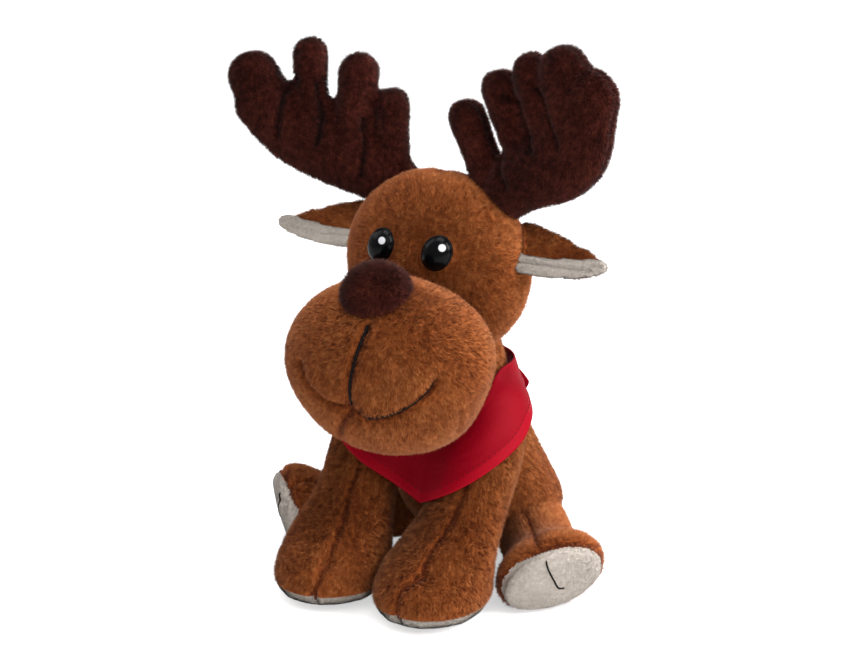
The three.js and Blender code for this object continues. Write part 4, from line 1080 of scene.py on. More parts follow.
class DressNose(PlushOperator, bpy.types.Operator):
    """Makes the nose ball of longer pile"""

    bl_idname = "plush_deer.dress_nose"
    bl_label = "Nose"

    def execute(self, context):
        centre = np.array(NOSE[0]) + NOSE_SHIFT
        thing = stuffed_skin("nose_plush", [ball(centre, NOSE[1], grow=-1.0)], voxel=2.5, smoothing=2, cap=0.0)
        rooms = [muzzle_room, skull_room]
        tucked(thing, NOSE_ANCHOR, rooms)
        pile = fullness(touching(co_of(thing.data), rooms))
        furred(thing, "nose pile fabric", (-0.2, -0.2, -0.6), pile, long=sizes().nose_pile_length, density=1.5,
               lean=0.45, disorder=0.6, clump=1.3, clump_mm=2.4, seed=4)
        settled(thing, "head", ["nose_skin"])
        return {"FINISHED"}


# An eye's place on the skull, its roll, its oval and dome, the hollow and short pile round it, and its printed dot
EYE = {
    "across": 13.0, "height": 146.5, "roll": -26, "half_width": 6.4, "half_height": 7.6, "dome": 3.6, "flange": 0.9,
    "socket": (8.5, 1.2), "bare": 5.2, "fade": 4.0, "dot": {"left": (1.65, 3.7), "right": (1.65, 3.4)},
    "dot_radius": 1.6,
}
# The dome's and the flange's rings: shares of the half width and the half height, and a height
DOME_SHARES = (0.94, 0.95)
FLANGE_RINGS = ((0.985, 0.95), (1, 0.7), (1, 0.3), (0.9, -0.6))


def eye_place(side):
    """An eye's frame on the skull, its Z axis pointing outwards, in millimetres."""
    centre, halves = Vector(SKULL[0]), Vector(SKULL[1])
    x, z = side * EYE["across"], EYE["height"] - centre.z
    y = -halves.y * math.sqrt(1 - (x / halves.x) ** 2 - (z / halves.z) ** 2)
    normal = Vector((x / halves.x**2, y / halves.y**2, z / halves.z**2)).normalized()
    across = -normal.cross(Vector((0, 0, 1)))
    across.normalize()
    turn = Matrix((across, normal.cross(across), normal)).transposed().to_4x4()
    turn = turn @ Matrix.Rotation(math.radians(EYE["roll"]), 4, "Z")
    return Matrix.Translation(centre + Vector((x, y, z))) @ turn


class DressEyes(PlushOperator, bpy.types.Operator):
    """Makes the polished oval eyes, each with a thin flange and a printed dot"""

    bl_idname = "plush_deer.dress_eyes"
    bl_label = "Eyes"

    def execute(self, context):
        width, height, dome, flange = (EYE[key] for key in ("half_width", "half_height", "dome", "flange"))
        rings = [(math.sin(a) * width * DOME_SHARES[0], math.sin(a) * height * DOME_SHARES[1],
                  flange + math.cos(a) * dome) for a in np.linspace(0.08, math.pi / 2, 12)]
        rings += [(width * share, height * share, rise) for share, rise in FLANGE_RINGS]
        turns = np.arange(48) / 48 * 2 * np.pi
        points = [(0, 0, flange + dome), *((w * math.cos(a), h * math.sin(a), z) for w, h, z in rings for a in turns),
                  (0, 0, rings[-1][2])]
        dots = []
        for name, side in SIDES.items():
            place = eye_place(side)
            thing = new_object(f"eye_{name}_bead", turned(points, place), wrapped(48, len(rings), outward=False))
            shade_smooth(thing.data)
            x, y = EYE["dot"][name]
            share = (x / (width * DOME_SHARES[0])) ** 2 + (y / (height * DOME_SHARES[1])) ** 2
            dots.append(place @ Vector((x, y, flange + dome * math.sqrt(1 - share))) * MM)
            settled(thing, "head", [f"eye_{name}"])
        acrylic = polished_acrylic("polished black acrylic", colours().eye, dots, EYE["dot_radius"] * MM)
        for name in SIDES:
            bpy.data.objects[f"eye_{name}_bead"].data.materials.append(acrylic)
        return {"FINISHED"}


# From where the folds of an antler's skin and fibre are drawn back, out of the head
ANTLER_ANCHOR = (28.0, 0, 30.0)
# A crease between two tines starts this far above the middle of their roots and runs this far down and across
CREASE_START, CREASE_RUN = 13, (4, -24)


def antler_place(name):
    return side_place(SIDES[name], ANTLER["lift"][name], ANTLER["turn"][name], ANTLER["base"])


class DressAntlers(PlushOperator, bpy.types.Operator):
    """Makes the padded antlers, sewn round their outline and creased between their tines"""

    bl_idname = "plush_deer.dress_antlers"
    bl_label = "Antlers"

    def execute(self, context):
        for name in SIDES:
            place = antler_place(name)
            shells = [placed(stuffed(form, grow=-0.8, around=32, rings=16, dome_rings=5), place)
                      for form in antler_forms(name)]
            thing = stuffed_skin(f"antler_{name}_plush", shells, voxel=2.6, smoothing=3, cap=1.0)
            local = turned(co_of(thing.data), np.linalg.inv(np.array(place)))
            near = np.exp(-((local[:, 1] / 0.9) ** 2))
            creases = []
            for (r0, z0, _, _, _), (r1, z1, _, _, _) in zip(TINES[name][:-1], TINES[name][1:]):
                root = np.array([(r0 + r1) / 2 * ANTLER["reach"], 0, (z0 + z1) / 2 * ANTLER["rise"] + CREASE_START])
                for face in (-ANTLER["half_thickness"], ANTLER["half_thickness"]):
                    crease = [root + (CREASE_RUN[0] * t, face, CREASE_RUN[1] * t) for t in np.linspace(0, 1, 8)]
                    creases.append(turned(crease, place))
            crease = press_in(thing, creases, depth=1.5, width=1.7)
            points, normals = co_of(thing.data), normals_of(thing.data)
            set_co(thing.data, points - normals * (near * 0.9)[:, None])
            tucked(thing, turned(ANTLER_ANCHOR, place), [skull_room])
            # Along the outline seam and the creases between the tines, the pile is darkened as painted shade
            near = np.maximum(near, crease)
            pile = fullness(touching(co_of(thing.data), [skull_room]), near, 0.5)
            nap = way_in(place, (-0.35, 0, -1.0))
            furred(thing, "dark brown pile fabric", nap, pile, near, long=sizes().dark_pile_length, lean=0.6,
                   disorder=0.4, clump=1.4, seed=5)
            settled(thing, f"antler_{name}", [f"antler_{name}_skin"])
        return {"FINISHED"}


# An ear's root on the left side, as a lift, a turn and a place, and how its upright leaf is turned into it
EAR_ROOT = (-3.0, 0.0, (37.0, -36.0, 146.0))
EAR_TURNS = Matrix.Rotation(math.radians(-34), 4, "X") @ Matrix.Rotation(math.radians(90), 4, "Y")
EAR_ANCHOR = (2.0, 0, 24.0)
# The fold that runs up the lining
EAR_FOLD = [(7.5 - 0.06 * h, -2.4, h) for h in np.linspace(2, 34, 10)]


class DressEars(PlushOperator, bpy.types.Operator):
    """Makes the leaf ears: brown pile outside and a short cream nap inside"""

    bl_idname = "plush_deer.dress_ears"
    bl_label = "Ears"

    def execute(self, context):
        for name, side in SIDES.items():
            place = side_place(side, *EAR_ROOT) @ EAR_TURNS
            up = way_in(place, (0, 0, 1))
            back = placed(stuffed(EAR, grow=-1.0, around=36, rings=24, dome_rings=5), place)
            thing = stuffed_skin(f"ear_{name}_plush", [back], voxel=2.0, smoothing=3, cap=0.0, subdivisions=1)
            tucked(thing, turned(EAR_ANCHOR, place), [skull_room])
            pile = fullness(touching(co_of(thing.data), [skull_room]))
            furred(thing, "brown pile fabric", up, pile, long=sizes().pile_length * 0.75, seed=6)
            settled(thing, f"ear_{name}", [f"ear_{name}_back"])
            place = place @ Matrix.Translation((0, -EAR["half_depth"], 0))
            lining = placed(stuffed(EAR_LINING, grow=0.35, around=36, rings=24, dome_rings=4), place)
            thing = stuffed_skin(f"ear_{name}_nap", [lining], voxel=1.0, smoothing=2, cap=0.0, subdivisions=1)
            press_in(thing, [turned(EAR_FOLD, place)], depth=0.7, width=1.1)
            furred(thing, "cream napped fabric", up, np.ones(len(thing.data.vertices)), long=sizes().sole_pile_length,
                   density=1.6, lean=1.2, clump=0.5, seed=7)
            settled(thing, f"ear_{name}", [f"ear_{name}_lining"])
        return {"FINISHED"}


def grow_kept(thing, finish, nap, **how):
    """Grows pile on a panel cut from a skin, by the fullness its vertices kept."""
    pile, seam = (read(thing.data.attributes[name].data, "value", 1).ravel().astype(float) for name in ("pile", "seam"))
    furred(thing, finish, nap, pile, seam, **how)


def leg_line(form, shares, angle):
    """A line down a form's side, at an angle round its sections and before its place."""
    x, y, z, w, d = section_at(form, shares)
    a = math.radians(angle)
    return np.stack([x + w * math.cos(a), y + d * math.sin(a), z], -1)


PAW_SEAMS = {
    "right": [(-21.5, -66, 54), (-21.5, -72.2, 46.8), (-21.4, -76.5, 41.1), (-18.1, -85.5, 33.6), (-17.3, -93.1, 28.4),
              (-16, -101.5, 22.5)],
    "left": [(30, -62, 56), (29.6, -72.6, 47), (28, -84, 35.6), (26.7, -94.7, 28.7), (28, -100.5, 24.3)],
}
PAW_CLEFTS = {
    "right": [(-16, -101.5, 22.5), (-16.2, -107.7, 16.6), (-17.7, -111.2, 10.2), (-17.9, -112.2, 3)],
    "left": [(28, -100.5, 24.3), (24.8, -104.2, 21.7), (21.6, -107.5, 18.8), (20.9, -110.3, 14), (20.8, -112.5, 8.6),
             (20.8, -112.5, 3)],
}


# Up to what height a front leg's sole reaches, and over what height the pile above it gains its full length
PAW_SOLE_RISE, PAW_PILE_FADE = 7.4, 4.5
# The front legs keep this far from the plane between them, and grow no pile next to it
LEG_GAP, LEG_BARE = 0.4, 0.8


def leg_anchor(side):
    """A point low in a front paw's middle."""
    return side * 26, -84, 18


def soled(thing, leg, beyond, seam, piles, naps, seed):
    """Cuts a leg's skin into its pile panel and its napped sole, grows both and hands both over."""
    sole = copied(thing, f"{leg}_sole_nap")
    for panel, dropped, pile in ((thing, beyond, piles[0]), (sole, ~beyond, piles[1])):
        store(panel.data, "pile", pile)
        store(panel.data, "seam", seam)
        without_faces(panel, dropped)
    grow_kept(thing, "brown pile fabric", naps[0], seed=seed)
    grow_kept(sole, "cream napped fabric", naps[1], long=sizes().sole_pile_length, density=1.6, lean=1.0, clump=0.5,
              seed=seed + 1)
    settled(thing, leg, [f"{leg}_skin"])
    settled(sole, leg, [f"{leg}_sole"])


class DressFrontLegs(PlushOperator, bpy.types.Operator):
    """Makes the front legs with their centre seams, toe clefts and cream soles"""

    bl_idname = "plush_deer.dress_front_legs"
    bl_label = "Front legs"

    def execute(self, context):
        for name, side in SIDES.items():
            form = front_leg_form(side)
            front = smooth_path(PAW_SEAMS[name], 24)
            toe = smooth_path(PAW_CLEFTS[name], 16)
            inside = leg_line(form, np.linspace(0.9, 0.1, 24), 90)
            thing = stuffed_skin(f"front_leg_{name}_plush", [stuffed(form, grow=-1.6)], sewn=[(front, 3.4), (toe, 3.4)])
            between_heights(thing, FLOOR_CLEARANCE)
            SKINS[f"paw_{name}"] = skin_tree(thing)
            seam = np.maximum(press_in(thing, [front, inside], depth=1.0), press_in(thing, [toe], depth=1.7, width=1.6))
            dimpled(thing, [(front[-1], 5, 1.4)])
            tucked(thing, leg_anchor(side), [torso_room])
            points = co_of(thing.data)
            points[:, 0] = side * np.maximum(points[:, 0] * side, LEG_GAP)
            set_co(thing.data, points)
            hidden = touching(points, [torso_room]) | (points[:, 2] < BARE_FLOOR) | (points[:, 0] * side < LEG_BARE)
            short = np.clip((points[:, 2] - PAW_SOLE_RISE + 1.5) / PAW_PILE_FADE, 0.3, 1)
            low = face_centres(thing.data)[:, 2] < PAW_SOLE_RISE
            soled(thing, f"front_leg_{name}", low, seam, (fullness(hidden, seam) * short, fullness(hidden)),
                  ((0.0, -0.25, -1.0), (0.0, -1.0, 0.0)), 8)
        return {"FINISHED"}


FOOT_DIMPLES = {"left": [((56.7, -58.2, 31.1), 4.5, 1.6)], "right": [((-66.6, -57.4, 21.2), 4.5, 1.8)]}
FOOT_FOLDS = [np.array([(-66.2, -57.4, 22), tip])
              for tip in ((-63.2, -49.5, 30.8), (-77.7, -47.7, 21.9), (-56, -52.8, 28.6))]
# How far behind a foot's end the sole's seam runs
SOLE_INSET = 3.2


class DressHindLegs(PlushOperator, bpy.types.Operator):
    """Makes the hind legs, their feet turned up to show oval cream soles"""

    bl_idname = "plush_deer.dress_hind_legs"
    bl_label = "Hind legs"

    def execute(self, context):
        for name, side in SIDES.items():
            form = hind_leg_form(name)
            _, y, z, w, d = section_at(form, 1.0)
            lean = math.tan(math.radians(HIND_TOE_LEAN))
            top = turned(leg_line(form, np.linspace(0.3, 0.97, 20), -90), form["place"])
            angles = np.linspace(0, 2 * np.pi, 60)
            across = d * np.sin(angles)
            rim = turned(np.stack([w * np.cos(angles), y + across, z - SOLE_INSET - lean * across], -1), form["place"])
            thing = stuffed_skin(f"hind_leg_{name}_plush", [stuffed(form, grow=-1.0)], voxel=2.6, smoothing=3,
                                 sewn=[(rim, 3.0)], cap=1.2, subdivisions=1)
            between_heights(thing, FLOOR_CLEARANCE)
            seam = np.maximum(press_in(thing, [rim], depth=0.9), press_in(thing, [top], depth=0.8))
            dimpled(thing, FOOT_DIMPLES[name])
            if name == "right":
                # The folds on the right foot have their pile darkened as painted shade, as a seam's is
                seam = np.maximum(seam, press_in(thing, FOOT_FOLDS, depth=1.3, width=1.5))
            rooms = [torso_room, form_room(front_leg_form(side))]
            splay = math.radians(HIND_SPLAY[name])
            forward = Vector((side * math.sin(splay), -math.cos(splay), 0))
            hip = Vector((side * HIP[0], *HIP[1:]))
            tucked(thing, hip + forward * HIND_LENGTH[name] * 0.85, rooms)
            SKINS[f"foot_{name}"] = skin_tree(thing)
            points = co_of(thing.data)
            pile = fullness(touching(points, rooms) | (points[:, 2] < BARE_FLOOR), seam)
            cut = np.array(hip + forward * (HIND_LENGTH[name] - SOLE_INSET))
            beyond = (face_centres(thing.data) - cut) @ np.array(forward - Vector((0, 0, lean))) > 0
            soled(thing, f"hind_leg_{name}", beyond, seam, (pile, pile),
                  (tuple(forward * -0.6 + Vector((0, 0, -0.6))), (0.0, 0.0, -1.0)), 10)
        return {"FINISHED"}


TAIL = {"height": 17.0, "spread": 0.0, "lean": 0.0, "half_width": 9.0, "half_depth": 6.0, "low_dome": 6.0,
        "high_dome": 6.0, "shares": [(-0.2, 0, 0, 0.7, 0.9), (0.4, 0, 0, 1, 1), (0.9, 0, 0, 0.6, 0.7)]}
TAIL_RISE = 24.0


class DressTail(PlushOperator, bpy.types.Operator):
    """Makes the small flat tail"""

    bl_idname = "plush_deer.dress_tail"
    bl_label = "Tail"

    def execute(self, context):
        _, y, _, _, d = section_at(TORSO, TAIL_RISE / TORSO["height"])
        place = Matrix.Translation((0, SEAT_BACK + y + d, TAIL_RISE)) @ Matrix.Rotation(math.radians(-125), 4, "X")
        shell = placed(stuffed(TAIL, grow=-1.2, around=28, rings=14, dome_rings=5), place)
        thing = stuffed_skin("tail_plush", [shell], voxel=2.0, smoothing=2, cap=0.0, subdivisions=1)
        tucked(thing, turned((0, 0, 14), place), [torso_room])
        pile = fullness(touching(co_of(thing.data), [torso_room]))
        furred(thing, "brown pile fabric", (0.0, 0.5, -1.0), pile, seed=12)
        settled(thing, "tail", ["tail"])
        return {"FINISHED"}


# The cloth's distance from the skin, its top edge behind and in front, the turn of its middle, and its soft folds
CLOTH = {"clearance": 2.7, "top": 90.0, "front_top": 70.0, "twist": 8.0, "fold": 1.6, "folds": 5, "around": 0.26}
# Where the top edge starts to rise behind the muzzle and where it is at full height, as shares of half a turn
CLOTH_TOPS = {"left": (0.07, 0.28), "right": (0.12, 0.42)}
# The hem stands this far out of the cloth, and its stitches lie this far out
HEM_RISE, STITCH_RISE = 0.25, 0.42
KNOT, KNOT_HALVES = (-3.6, 8.6, 84.8), (5.0, 4.0, 5.6)
# Where the lower edge runs, as a share of the top edge's height for each share of half a turn
CLOTH_EDGES = {
    "left": [(0, 0.447), (0.05, 0.512), (0.1, 0.57), (0.15, 0.625), (0.2, 0.68), (0.28, 0.755), (0.35, 0.81),
             (0.5, 0.845), (1, 0.855)],
    "right": [(0, 0.447), (0.05, 0.475), (0.1, 0.525), (0.15, 0.59), (0.2, 0.65), (0.28, 0.73), (0.35, 0.785),
              (0.5, 0.835), (1, 0.855)],
}


def cloth_surface(columns=144, rows=28):
    """The neckerchief's sheet round the torso and shoulders, as rows of points in millimetres."""
    angles = np.arange(columns) / columns * 2 * np.pi - np.pi
    share = np.abs(angles) / np.pi
    low, high = np.where(angles[:, None] < 0, CLOTH_TOPS["right"], CLOTH_TOPS["left"]).T
    t = np.clip((share - low) / (high - low), 0, 1)
    top = CLOTH["front_top"] + (CLOTH["top"] - CLOTH["front_top"]) * t * t * (3 - 2 * t)
    edges = [value_at(CLOTH_EDGES[name], 1, share) for name in ("right", "left")]
    bottom = CLOTH["top"] * np.where(angles < 0, *edges)
    heading = angles + math.radians(CLOTH["twist"])
    direction = np.stack([np.sin(heading), -np.cos(heading), 0 * heading], -1)
    rooms = [torso_room, form_room(front_leg_form(1)), form_room(front_leg_form(-1))]
    out = []
    for row in range(rows + 1):
        height = top + (bottom - top) * row / rows
        middle = section_at(TORSO, height / TORSO["height"])[1] + SEAT_BACK
        start = np.stack([0 * height, middle, height], -1)
        reach = np.zeros(columns)
        for step in np.arange(90, 0, -0.4):
            held = touching(start + direction * step, rooms, 0.0)
            reach = np.where((reach == 0) & held, step, reach)
        reach += CLOTH["clearance"]
        for _ in range(40):
            reach = np.maximum(reach, (np.roll(reach, 1) + np.roll(reach, -1)) / 2)
        out.append(start + direction * reach[:, None])
    return np.array(out), direction, angles


def thickened(thing):
    solid = thing.modifiers.new("Cloth thickness", "SOLIDIFY")
    solid.thickness, solid.offset = sizes().cloth_thickness, 0


class DressNeckerchief(PlushOperator, bpy.types.Operator):
    """Makes the red neckerchief with its stitched hem, knot and two loose ends"""

    bl_idname = "plush_deer.dress_neckerchief"
    bl_label = "Neckerchief"

    def execute(self, context):
        grid, direction, angles = cloth_surface()
        rows, columns = grid.shape[:2]
        down = np.linspace(0, 1, rows)[:, None]
        fold = CLOTH["fold"] * down * (1 - np.cos(CLOTH["folds"] * (angles + np.pi)[None, :])) / 2
        grid = grid + direction[None] * fold[..., None]
        width = sizes().hem_width / MM
        inside = distance_to(grid.reshape(-1, 3), np.vstack([grid[-1], grid[-1][:1]])).reshape(rows, columns)
        hem = np.clip((width - inside) / 0.5 + 0.5, 0, 1)
        grid = grid + direction[None] * (HEM_RISE * hem)[..., None]
        points = grid.reshape(-1, 3)
        here, beside = np.arange(columns), np.roll(np.arange(columns), -1)
        faces = [(r + a, r + columns + a, r + columns + b, r + b)
                 for r in range(0, len(points) - columns, columns) for a, b in zip(here.tolist(), beside.tolist())]
        thing = new_object("neckerchief_sheet", points, faces)
        mesh = thing.data
        layer = mesh.uv_layers.new(name="cloth")
        lengths = np.linalg.norm(np.diff(grid, axis=0), axis=2).cumsum(0)
        lengths = np.vstack([np.zeros(columns), lengths]) * MM
        loops = read(mesh.loops, "vertex_index", 1, np.int32).ravel()
        r, c = loops // columns, loops % columns
        uv = np.stack([c / columns * CLOTH["around"], -lengths[r, c]], -1)
        wraps = (np.arange(len(loops)) // 4 % columns == columns - 1) & (c == 0)
        uv[wraps, 0] = CLOTH["around"]
        layer.data.foreach_set("uv", uv.astype(np.float32).ravel())
        store(mesh, "hem", hem)
        thickened(thing)
        applied(thing)
        shade_smooth(thing.data)
        thing.data.materials.append(finish_of("red woven cotton"))
        settled(thing, "torso", ["neckerchief_cloth"])
        self.hem_stitches(grid, inside, direction, width)
        self.knot()
        return {"FINISHED"}

    def hem_stitches(self, grid, inside, direction, width):
        """Lays the stitches where the cloth is a hem's width away from its lower edge."""
        last = len(grid) - 1
        line = []
        for c in range(grid.shape[1]):
            r = last
            while r > 1 and inside[r, c] < width:
                r -= 1
            below = min(r + 1, last)
            t = np.clip((inside[r, c] - width) / max(inside[r, c] - inside[below, c], 1e-6), 0, 1)
            line.append(grid[r, c] * (1 - t) + grid[below, c] * t + direction[c] * STITCH_RISE)
        count = len(line)
        thing = new_object("hem_stitching", np.array(line), [])
        thing.data.edges.add(count)
        pairs = np.stack([np.arange(count), (np.arange(count) + 1) % count], -1)
        thing.data.edges.foreach_set("vertices", pairs.astype(np.int32).ravel())
        thing.data.update()
        modifier = thing.modifiers.new("Hem stitches", "NODES")
        modifier.node_group = stitch_tree()
        set_inputs(modifier, {"Pitch": sizes().stitch_length * 1.35, "Length": sizes().stitch_length, "Radius": 0.00024,
                              "Seed": sizes().seed, "Material": finish_of("red sewing thread")})
        applied(thing)
        settled(thing, "torso", [])

    def knot(self):
        """Ties the knot, a tight ball of cloth, with two curling loose ends."""
        thing = stuffed_skin("neckerchief_knot_cloth", [ball(KNOT, KNOT_HALVES, around=24, rings=16)], voxel=1.2,
                             smoothing=2, cap=0.0, subdivisions=1)
        thing.data.materials.append(finish_of("red woven cotton"))
        settled(thing, "torso", ["neckerchief_knot"])
        for name, side in SIDES.items():
            count, half_width = 14, 5.5
            points = []
            for t in np.arange(count + 1) / count:
                middle = np.array(KNOT) + (side * (2 + 15 * t), 1.5 + 9 * t - 4 * t * t, -2 - 17 * t)
                spread = (0.45 + 0.55 * min(t * 2, 1)) * half_width
                points += [middle + (-0.35 * side * across * spread, 0.9 * math.sin(across * 2.2 + t * 5) * t,
                                     -across * spread * 0.8) for across in (-1, -0.5, 0, 0.5, 1)]
            faces = [(a, a + 1, a + 6, a + 5) for k in range(count) for a in range(k * 5, k * 5 + 4)]
            end = new_object(f"neckerchief_end_{name}_cloth", points, faces)
            thickened(end)
            fine = end.modifiers.new("Fine", "SUBSURF")
            fine.levels = fine.render_levels = 1
            applied(end)
            end.data.materials.append(finish_of("red woven cotton"))
            settled(end, "torso", [f"neckerchief_end_{name}"])


# The toe line on a hind sole, as shares of its half width and its half height
TOE_LINE = ((0, 0.86), (0.02, 0.5), (0, 0.1), (-0.02, -0.22), (-0.12, -0.32))


class DressStitching(PlushOperator, bpy.types.Operator):
    """Makes the embroidered lines of the mouth and toes"""

    bl_idname = "plush_deer.dress_stitching"
    bl_label = "Stitching"

    def execute(self, context):
        black = finish_of("black embroidery thread")
        philtrum = laid(SKINS["muzzle"], PHILTRUM, -0.75)
        # The mouth's right part lies deep in its crease and shows as a shadow, and its left part comes up to the pile.
        along = np.linspace(0, 1, len(MOUTH))
        showing = np.clip((along - 0.4) / 0.08, 0, 1)
        mouth = laid(SKINS["muzzle"], MOUTH, -2.0 + 1.2 * showing)
        taper = 0.3 + 0.42 * showing * np.clip((1 - along) / 0.35, 0.25, 1)
        for name, path, radius, node in (("philtrum_stitch", philtrum, 0.8, "philtrum_thread"),
                                         ("mouth_stitch", mouth, taper, "mouth_thread")):
            thing = tube(name, path, radius)
            thing.data.materials.append(black)
            settled(thing, "head", [node])
        for name in SIDES:
            toe = laid(SKINS[f"paw_{name}"], smooth_path(PAW_CLEFTS[name], 24), -1.3)
            thing = tube(f"toe_line_front_{name}", toe, 0.35)
            thing.data.materials.append(finish_of("brown sewing thread"))
            settled(thing, f"front_leg_{name}", [f"toe_stitch_front_{name}"])
            form = hind_leg_form(name)
            _, y, z, w, d = section_at(form, 1.0)
            lean = math.tan(math.radians(HIND_TOE_LEAN))
            line = []
            for across, rise in TOE_LINE:
                bulge = math.sqrt(1 - across**2 - rise**2) * form["high_dome"]
                line.append((across * w, y - rise * d, z + lean * rise * d + bulge))
            path = laid(SKINS[f"foot_{name}"], smooth_path(turned(line, form["place"]), 40), 0.3)
            thing = tube(f"toe_line_hind_{name}", path, 0.38)
            thing.data.materials.append(black)
            settled(thing, f"hind_leg_{name}", [f"toe_stitch_hind_{name}"])
        return {"FINISHED"}


# The pellet bag's flat underside and top, and how low the fibre of the legs reaches
BAG_HEIGHTS, FIBRE_FLOOR = (3.0, 15.5), 3.5
WASHER_RADIUS = 8.0


def washer_room(side):
    """The room of an eye's shank and washer inside the head."""
    shank = turned([(0, 0, 2), (0, 0, -9)], eye_place(side))
    return lambda points, grow: distance_to(points, shank) < WASHER_RADIUS + grow


class DressInsides(PlushOperator, bpy.types.Operator):
    """Makes the fibre filling of each part, the pellet bag, and the washers' finish"""

    bl_idname = "plush_deer.dress_insides"
    bl_label = "Insides"

    def execute(self, context):
        self.stuffing("torso", "torso", [stuffed(TORSO, grow=-7)], (0, 0, 50), [])
        eyes = [washer_room(side) for side in SIDES.values()]
        balls = [ball(*SKULL, grow=-7), ball(*MUZZLE, grow=-7)]
        self.stuffing("head", "head", balls, (0, -50, 120), [torso_room, *eyes])
        self.stuffing("nose", "head", [ball(*NOSE, grow=-5.5)], NOSE_ANCHOR, [muzzle_room, skull_room])
        for name, side in SIDES.items():
            front, hind = front_leg_form(side), hind_leg_form(name)
            part = f"front_leg_{name}"
            self.stuffing(part, part, [stuffed(front, grow=-7.5)], leg_anchor(side), [torso_room])
            part, ankle = f"hind_leg_{name}", turned((0, 0, hind["height"] * 0.8), hind["place"])
            self.stuffing(part, part, [stuffed(hind, grow=-7)], ankle, [torso_room, form_room(front)])
            part, place = f"antler_{name}", antler_place(name)
            shells = [placed(stuffed(form, grow=-4.2, around=24, rings=10, dome_rings=4), place)
                      for form in antler_forms(name)]
            self.stuffing(part, part, shells, turned(ANTLER_ANCHOR, place), [skull_room])
        bag = new_object("pellet_bag_cloth", *stuffed(TORSO, grow=-6))
        remeshed(bag, 3.0, 2)
        between_heights(bag, *BAG_HEIGHTS)
        tucked(bag, (0, SEAT_BACK - 2, 9.5), [outside_torso], -4.6)
        bag.data.materials.append(finish_of("cotton pellet bag"))
        settled(bag, "torso", ["pellet_bag"])
        for name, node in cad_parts.items():
            if "washer" in name:
                for place in node.material_slots:
                    place.material = finish_of("white moulded nylon")
        return {"FINISHED"}

    def stuffing(self, part, body, shells, anchor, rooms):
        """Fills one part with fibre, clear of its neighbours, of the floor and, in the torso, of the pellet bag."""
        thing = new_object(f"{part}_fibre", *joined_shells(shells))
        remeshed(thing, 2.0 if "antler" in part or part == "nose" else 3.0, 2)
        tucked(thing, anchor, rooms, 2.0)
        between_heights(thing, BAG_HEIGHTS[1] + 2 if part == "torso" else FIBRE_FLOOR)
        if part == "torso":
            tucked(thing, anchor, [outside_torso], -6.0)
        shade_smooth(thing.data)
        thing.data.materials.append(finish_of("polyester fibre"))
        settled(thing, body, [f"{part}_filling"])


# Soft lamps: a place, a width and a power each
LAMPS = {"key": ((1.0, 0.1, 0.7), 0.8, 19.0), "side": ((-1.0, -0.3, 0.9), 0.9, 4.0),
         "top": ((0.0, -0.1, 1.3), 0.9, 10.5), "fill": ((0.6, -0.8, 0.8), 0.9, 3.4)}
LAMP_TARGET = Vector((0, -0.05, 0.12))
# The view of the photo, in degrees and metres, with the size that one of its pixels shows at the target
CAMERA = {"azimuth": 30, "elevation": 17, "distance": 1.0, "target": (0.0048, -0.058, 0.110), "pixel": 0.00041,
          "photo_width": 851, "sensor": 36.0}
FLOOR_REACH, FLOOR_DROP = 6000, -0.2
WHITE = (1, 1, 1, 1)


def aimed(scene, name, data, place, way):
    """A lamp or camera that stands at a place and looks a way."""
    made = bpy.data.objects.new(name, data)
    made.location = place
    made.rotation_mode = "QUATERNION"
    made.rotation_quaternion = way.to_track_quat("-Z", "Y")
    scene.collection.objects.link(made)
    return made


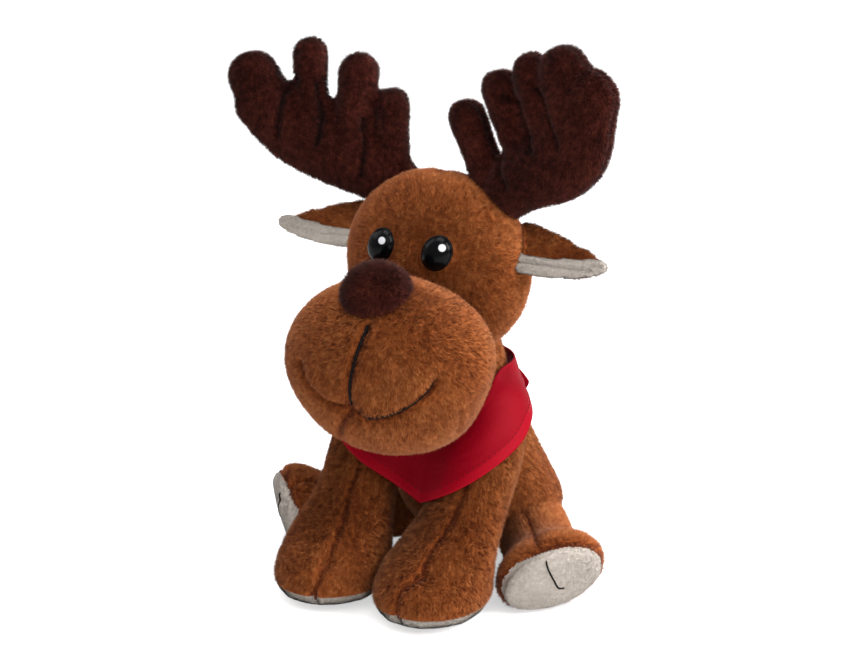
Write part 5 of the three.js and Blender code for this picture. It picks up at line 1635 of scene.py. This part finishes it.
class SetStage(PlushOperator, bpy.types.Operator):
    """Sets the pale floor, the soft lamps and the camera"""

    bl_idname = "plush_deer.set_stage"
    bl_label = "Stage"

    def execute(self, context):
        scene = context.scene
        scene.view_settings.view_transform = "Standard"
        corners = [(x * FLOOR_REACH, y * FLOOR_REACH, FLOOR_DROP) for x, y in ((-1, -1), (1, -1), (1, 1), (-1, 1))]
        floor = new_object("floor", corners, [(0, 1, 2, 3)])
        material, tree = new_material("pale floor")
        seen = add_node(tree, "ShaderNodeLightPath").outputs["Is Camera Ray"]
        plain = add_node(tree, "ShaderNodeBsdfDiffuse", Color=(0.8, 0.8, 0.8, 1))
        bright = add_node(tree, "ShaderNodeEmission", Color=WHITE, Strength=0.55)
        both = add_node(tree, "ShaderNodeAddShader", i0=plain.outputs[0], i1=bright.outputs[0])
        shader = add_node(tree, "ShaderNodeMixShader", i0=seen, i1=plain.outputs[0], i2=both.outputs[0])
        add_node(tree, "ShaderNodeOutputMaterial", Surface=shader.outputs[0])
        floor.data.materials.append(material)
        world = bpy.data.worlds.new("studio")
        scene.world = world
        world.use_nodes = True
        tree = world.node_tree
        tree.nodes.clear()
        seen = add_node(tree, "ShaderNodeLightPath").outputs["Is Camera Ray"]
        room = add_node(tree, "ShaderNodeBackground", Color=WHITE, Strength=0.5)
        white = add_node(tree, "ShaderNodeBackground", Color=WHITE, Strength=1.0)
        mix = add_node(tree, "ShaderNodeMixShader", i0=seen, i1=room.outputs[0], i2=white.outputs[0])
        add_node(tree, "ShaderNodeOutputWorld", Surface=mix.outputs[0])
        for name, (place, size, watts) in LAMPS.items():
            data = bpy.data.lights.new(name, "AREA")
            data.energy, data.size = watts, size
            aimed(scene, name, data, Vector(place), LAMP_TARGET - Vector(place))
        data = bpy.data.cameras.new("camera")
        azimuth, elevation = math.radians(CAMERA["azimuth"]), math.radians(CAMERA["elevation"])
        back = Vector((math.sin(azimuth) * math.cos(elevation), -math.cos(azimuth) * math.cos(elevation),
                       math.sin(elevation)))
        data.sensor_width = CAMERA["sensor"]
        data.lens = CAMERA["sensor"] * CAMERA["distance"] / (CAMERA["photo_width"] * CAMERA["pixel"])
        data.clip_start, data.clip_end = 0.05, 50
        scene.camera = aimed(scene, "camera", data, Vector(CAMERA["target"]) + back * CAMERA["distance"], -back)
        return {"FINISHED"}


DRESSING = (DressTorso, DressHead, DressMuzzle, DressNose, DressEyes, DressAntlers, DressEars, DressFrontLegs,
            DressHindLegs, DressTail, DressNeckerchief, DressStitching, DressInsides, SetStage)


class PlushDeerPanel(bpy.types.Panel):
    """Lists the deer's pieces, sizes and colours"""

    bl_idname = "VIEW3D_PT_plush_deer"
    bl_label = "Plush Deer"
    bl_space_type = "VIEW_3D"
    bl_region_type = "UI"
    bl_category = "Plush Deer"

    def draw(self, context):
        for operator in DRESSING:
            self.layout.operator(operator.bl_idname)
        for group in (context.scene.plush_deer_sizes, context.scene.plush_deer_colours):
            for key in group.__annotations__:
                self.layout.prop(group, key)


CLASSES = (PlushDeerSizes, PlushDeerColours, *DRESSING, PlushDeerPanel)


def register():
    for each in CLASSES:
        bpy.utils.register_class(each)
    bpy.types.Scene.plush_deer_sizes = PointerProperty(type=PlushDeerSizes)
    bpy.types.Scene.plush_deer_colours = PointerProperty(type=PlushDeerColours)


def unregister():
    del bpy.types.Scene.plush_deer_colours
    del bpy.types.Scene.plush_deer_sizes
    for each in reversed(CLASSES):
        bpy.utils.unregister_class(each)


def main():
    register()
    for operator in DRESSING:
        group, name = operator.bl_idname.split(".")
        getattr(getattr(bpy.ops, group), name)()


if __name__ == "__main__":
    main()
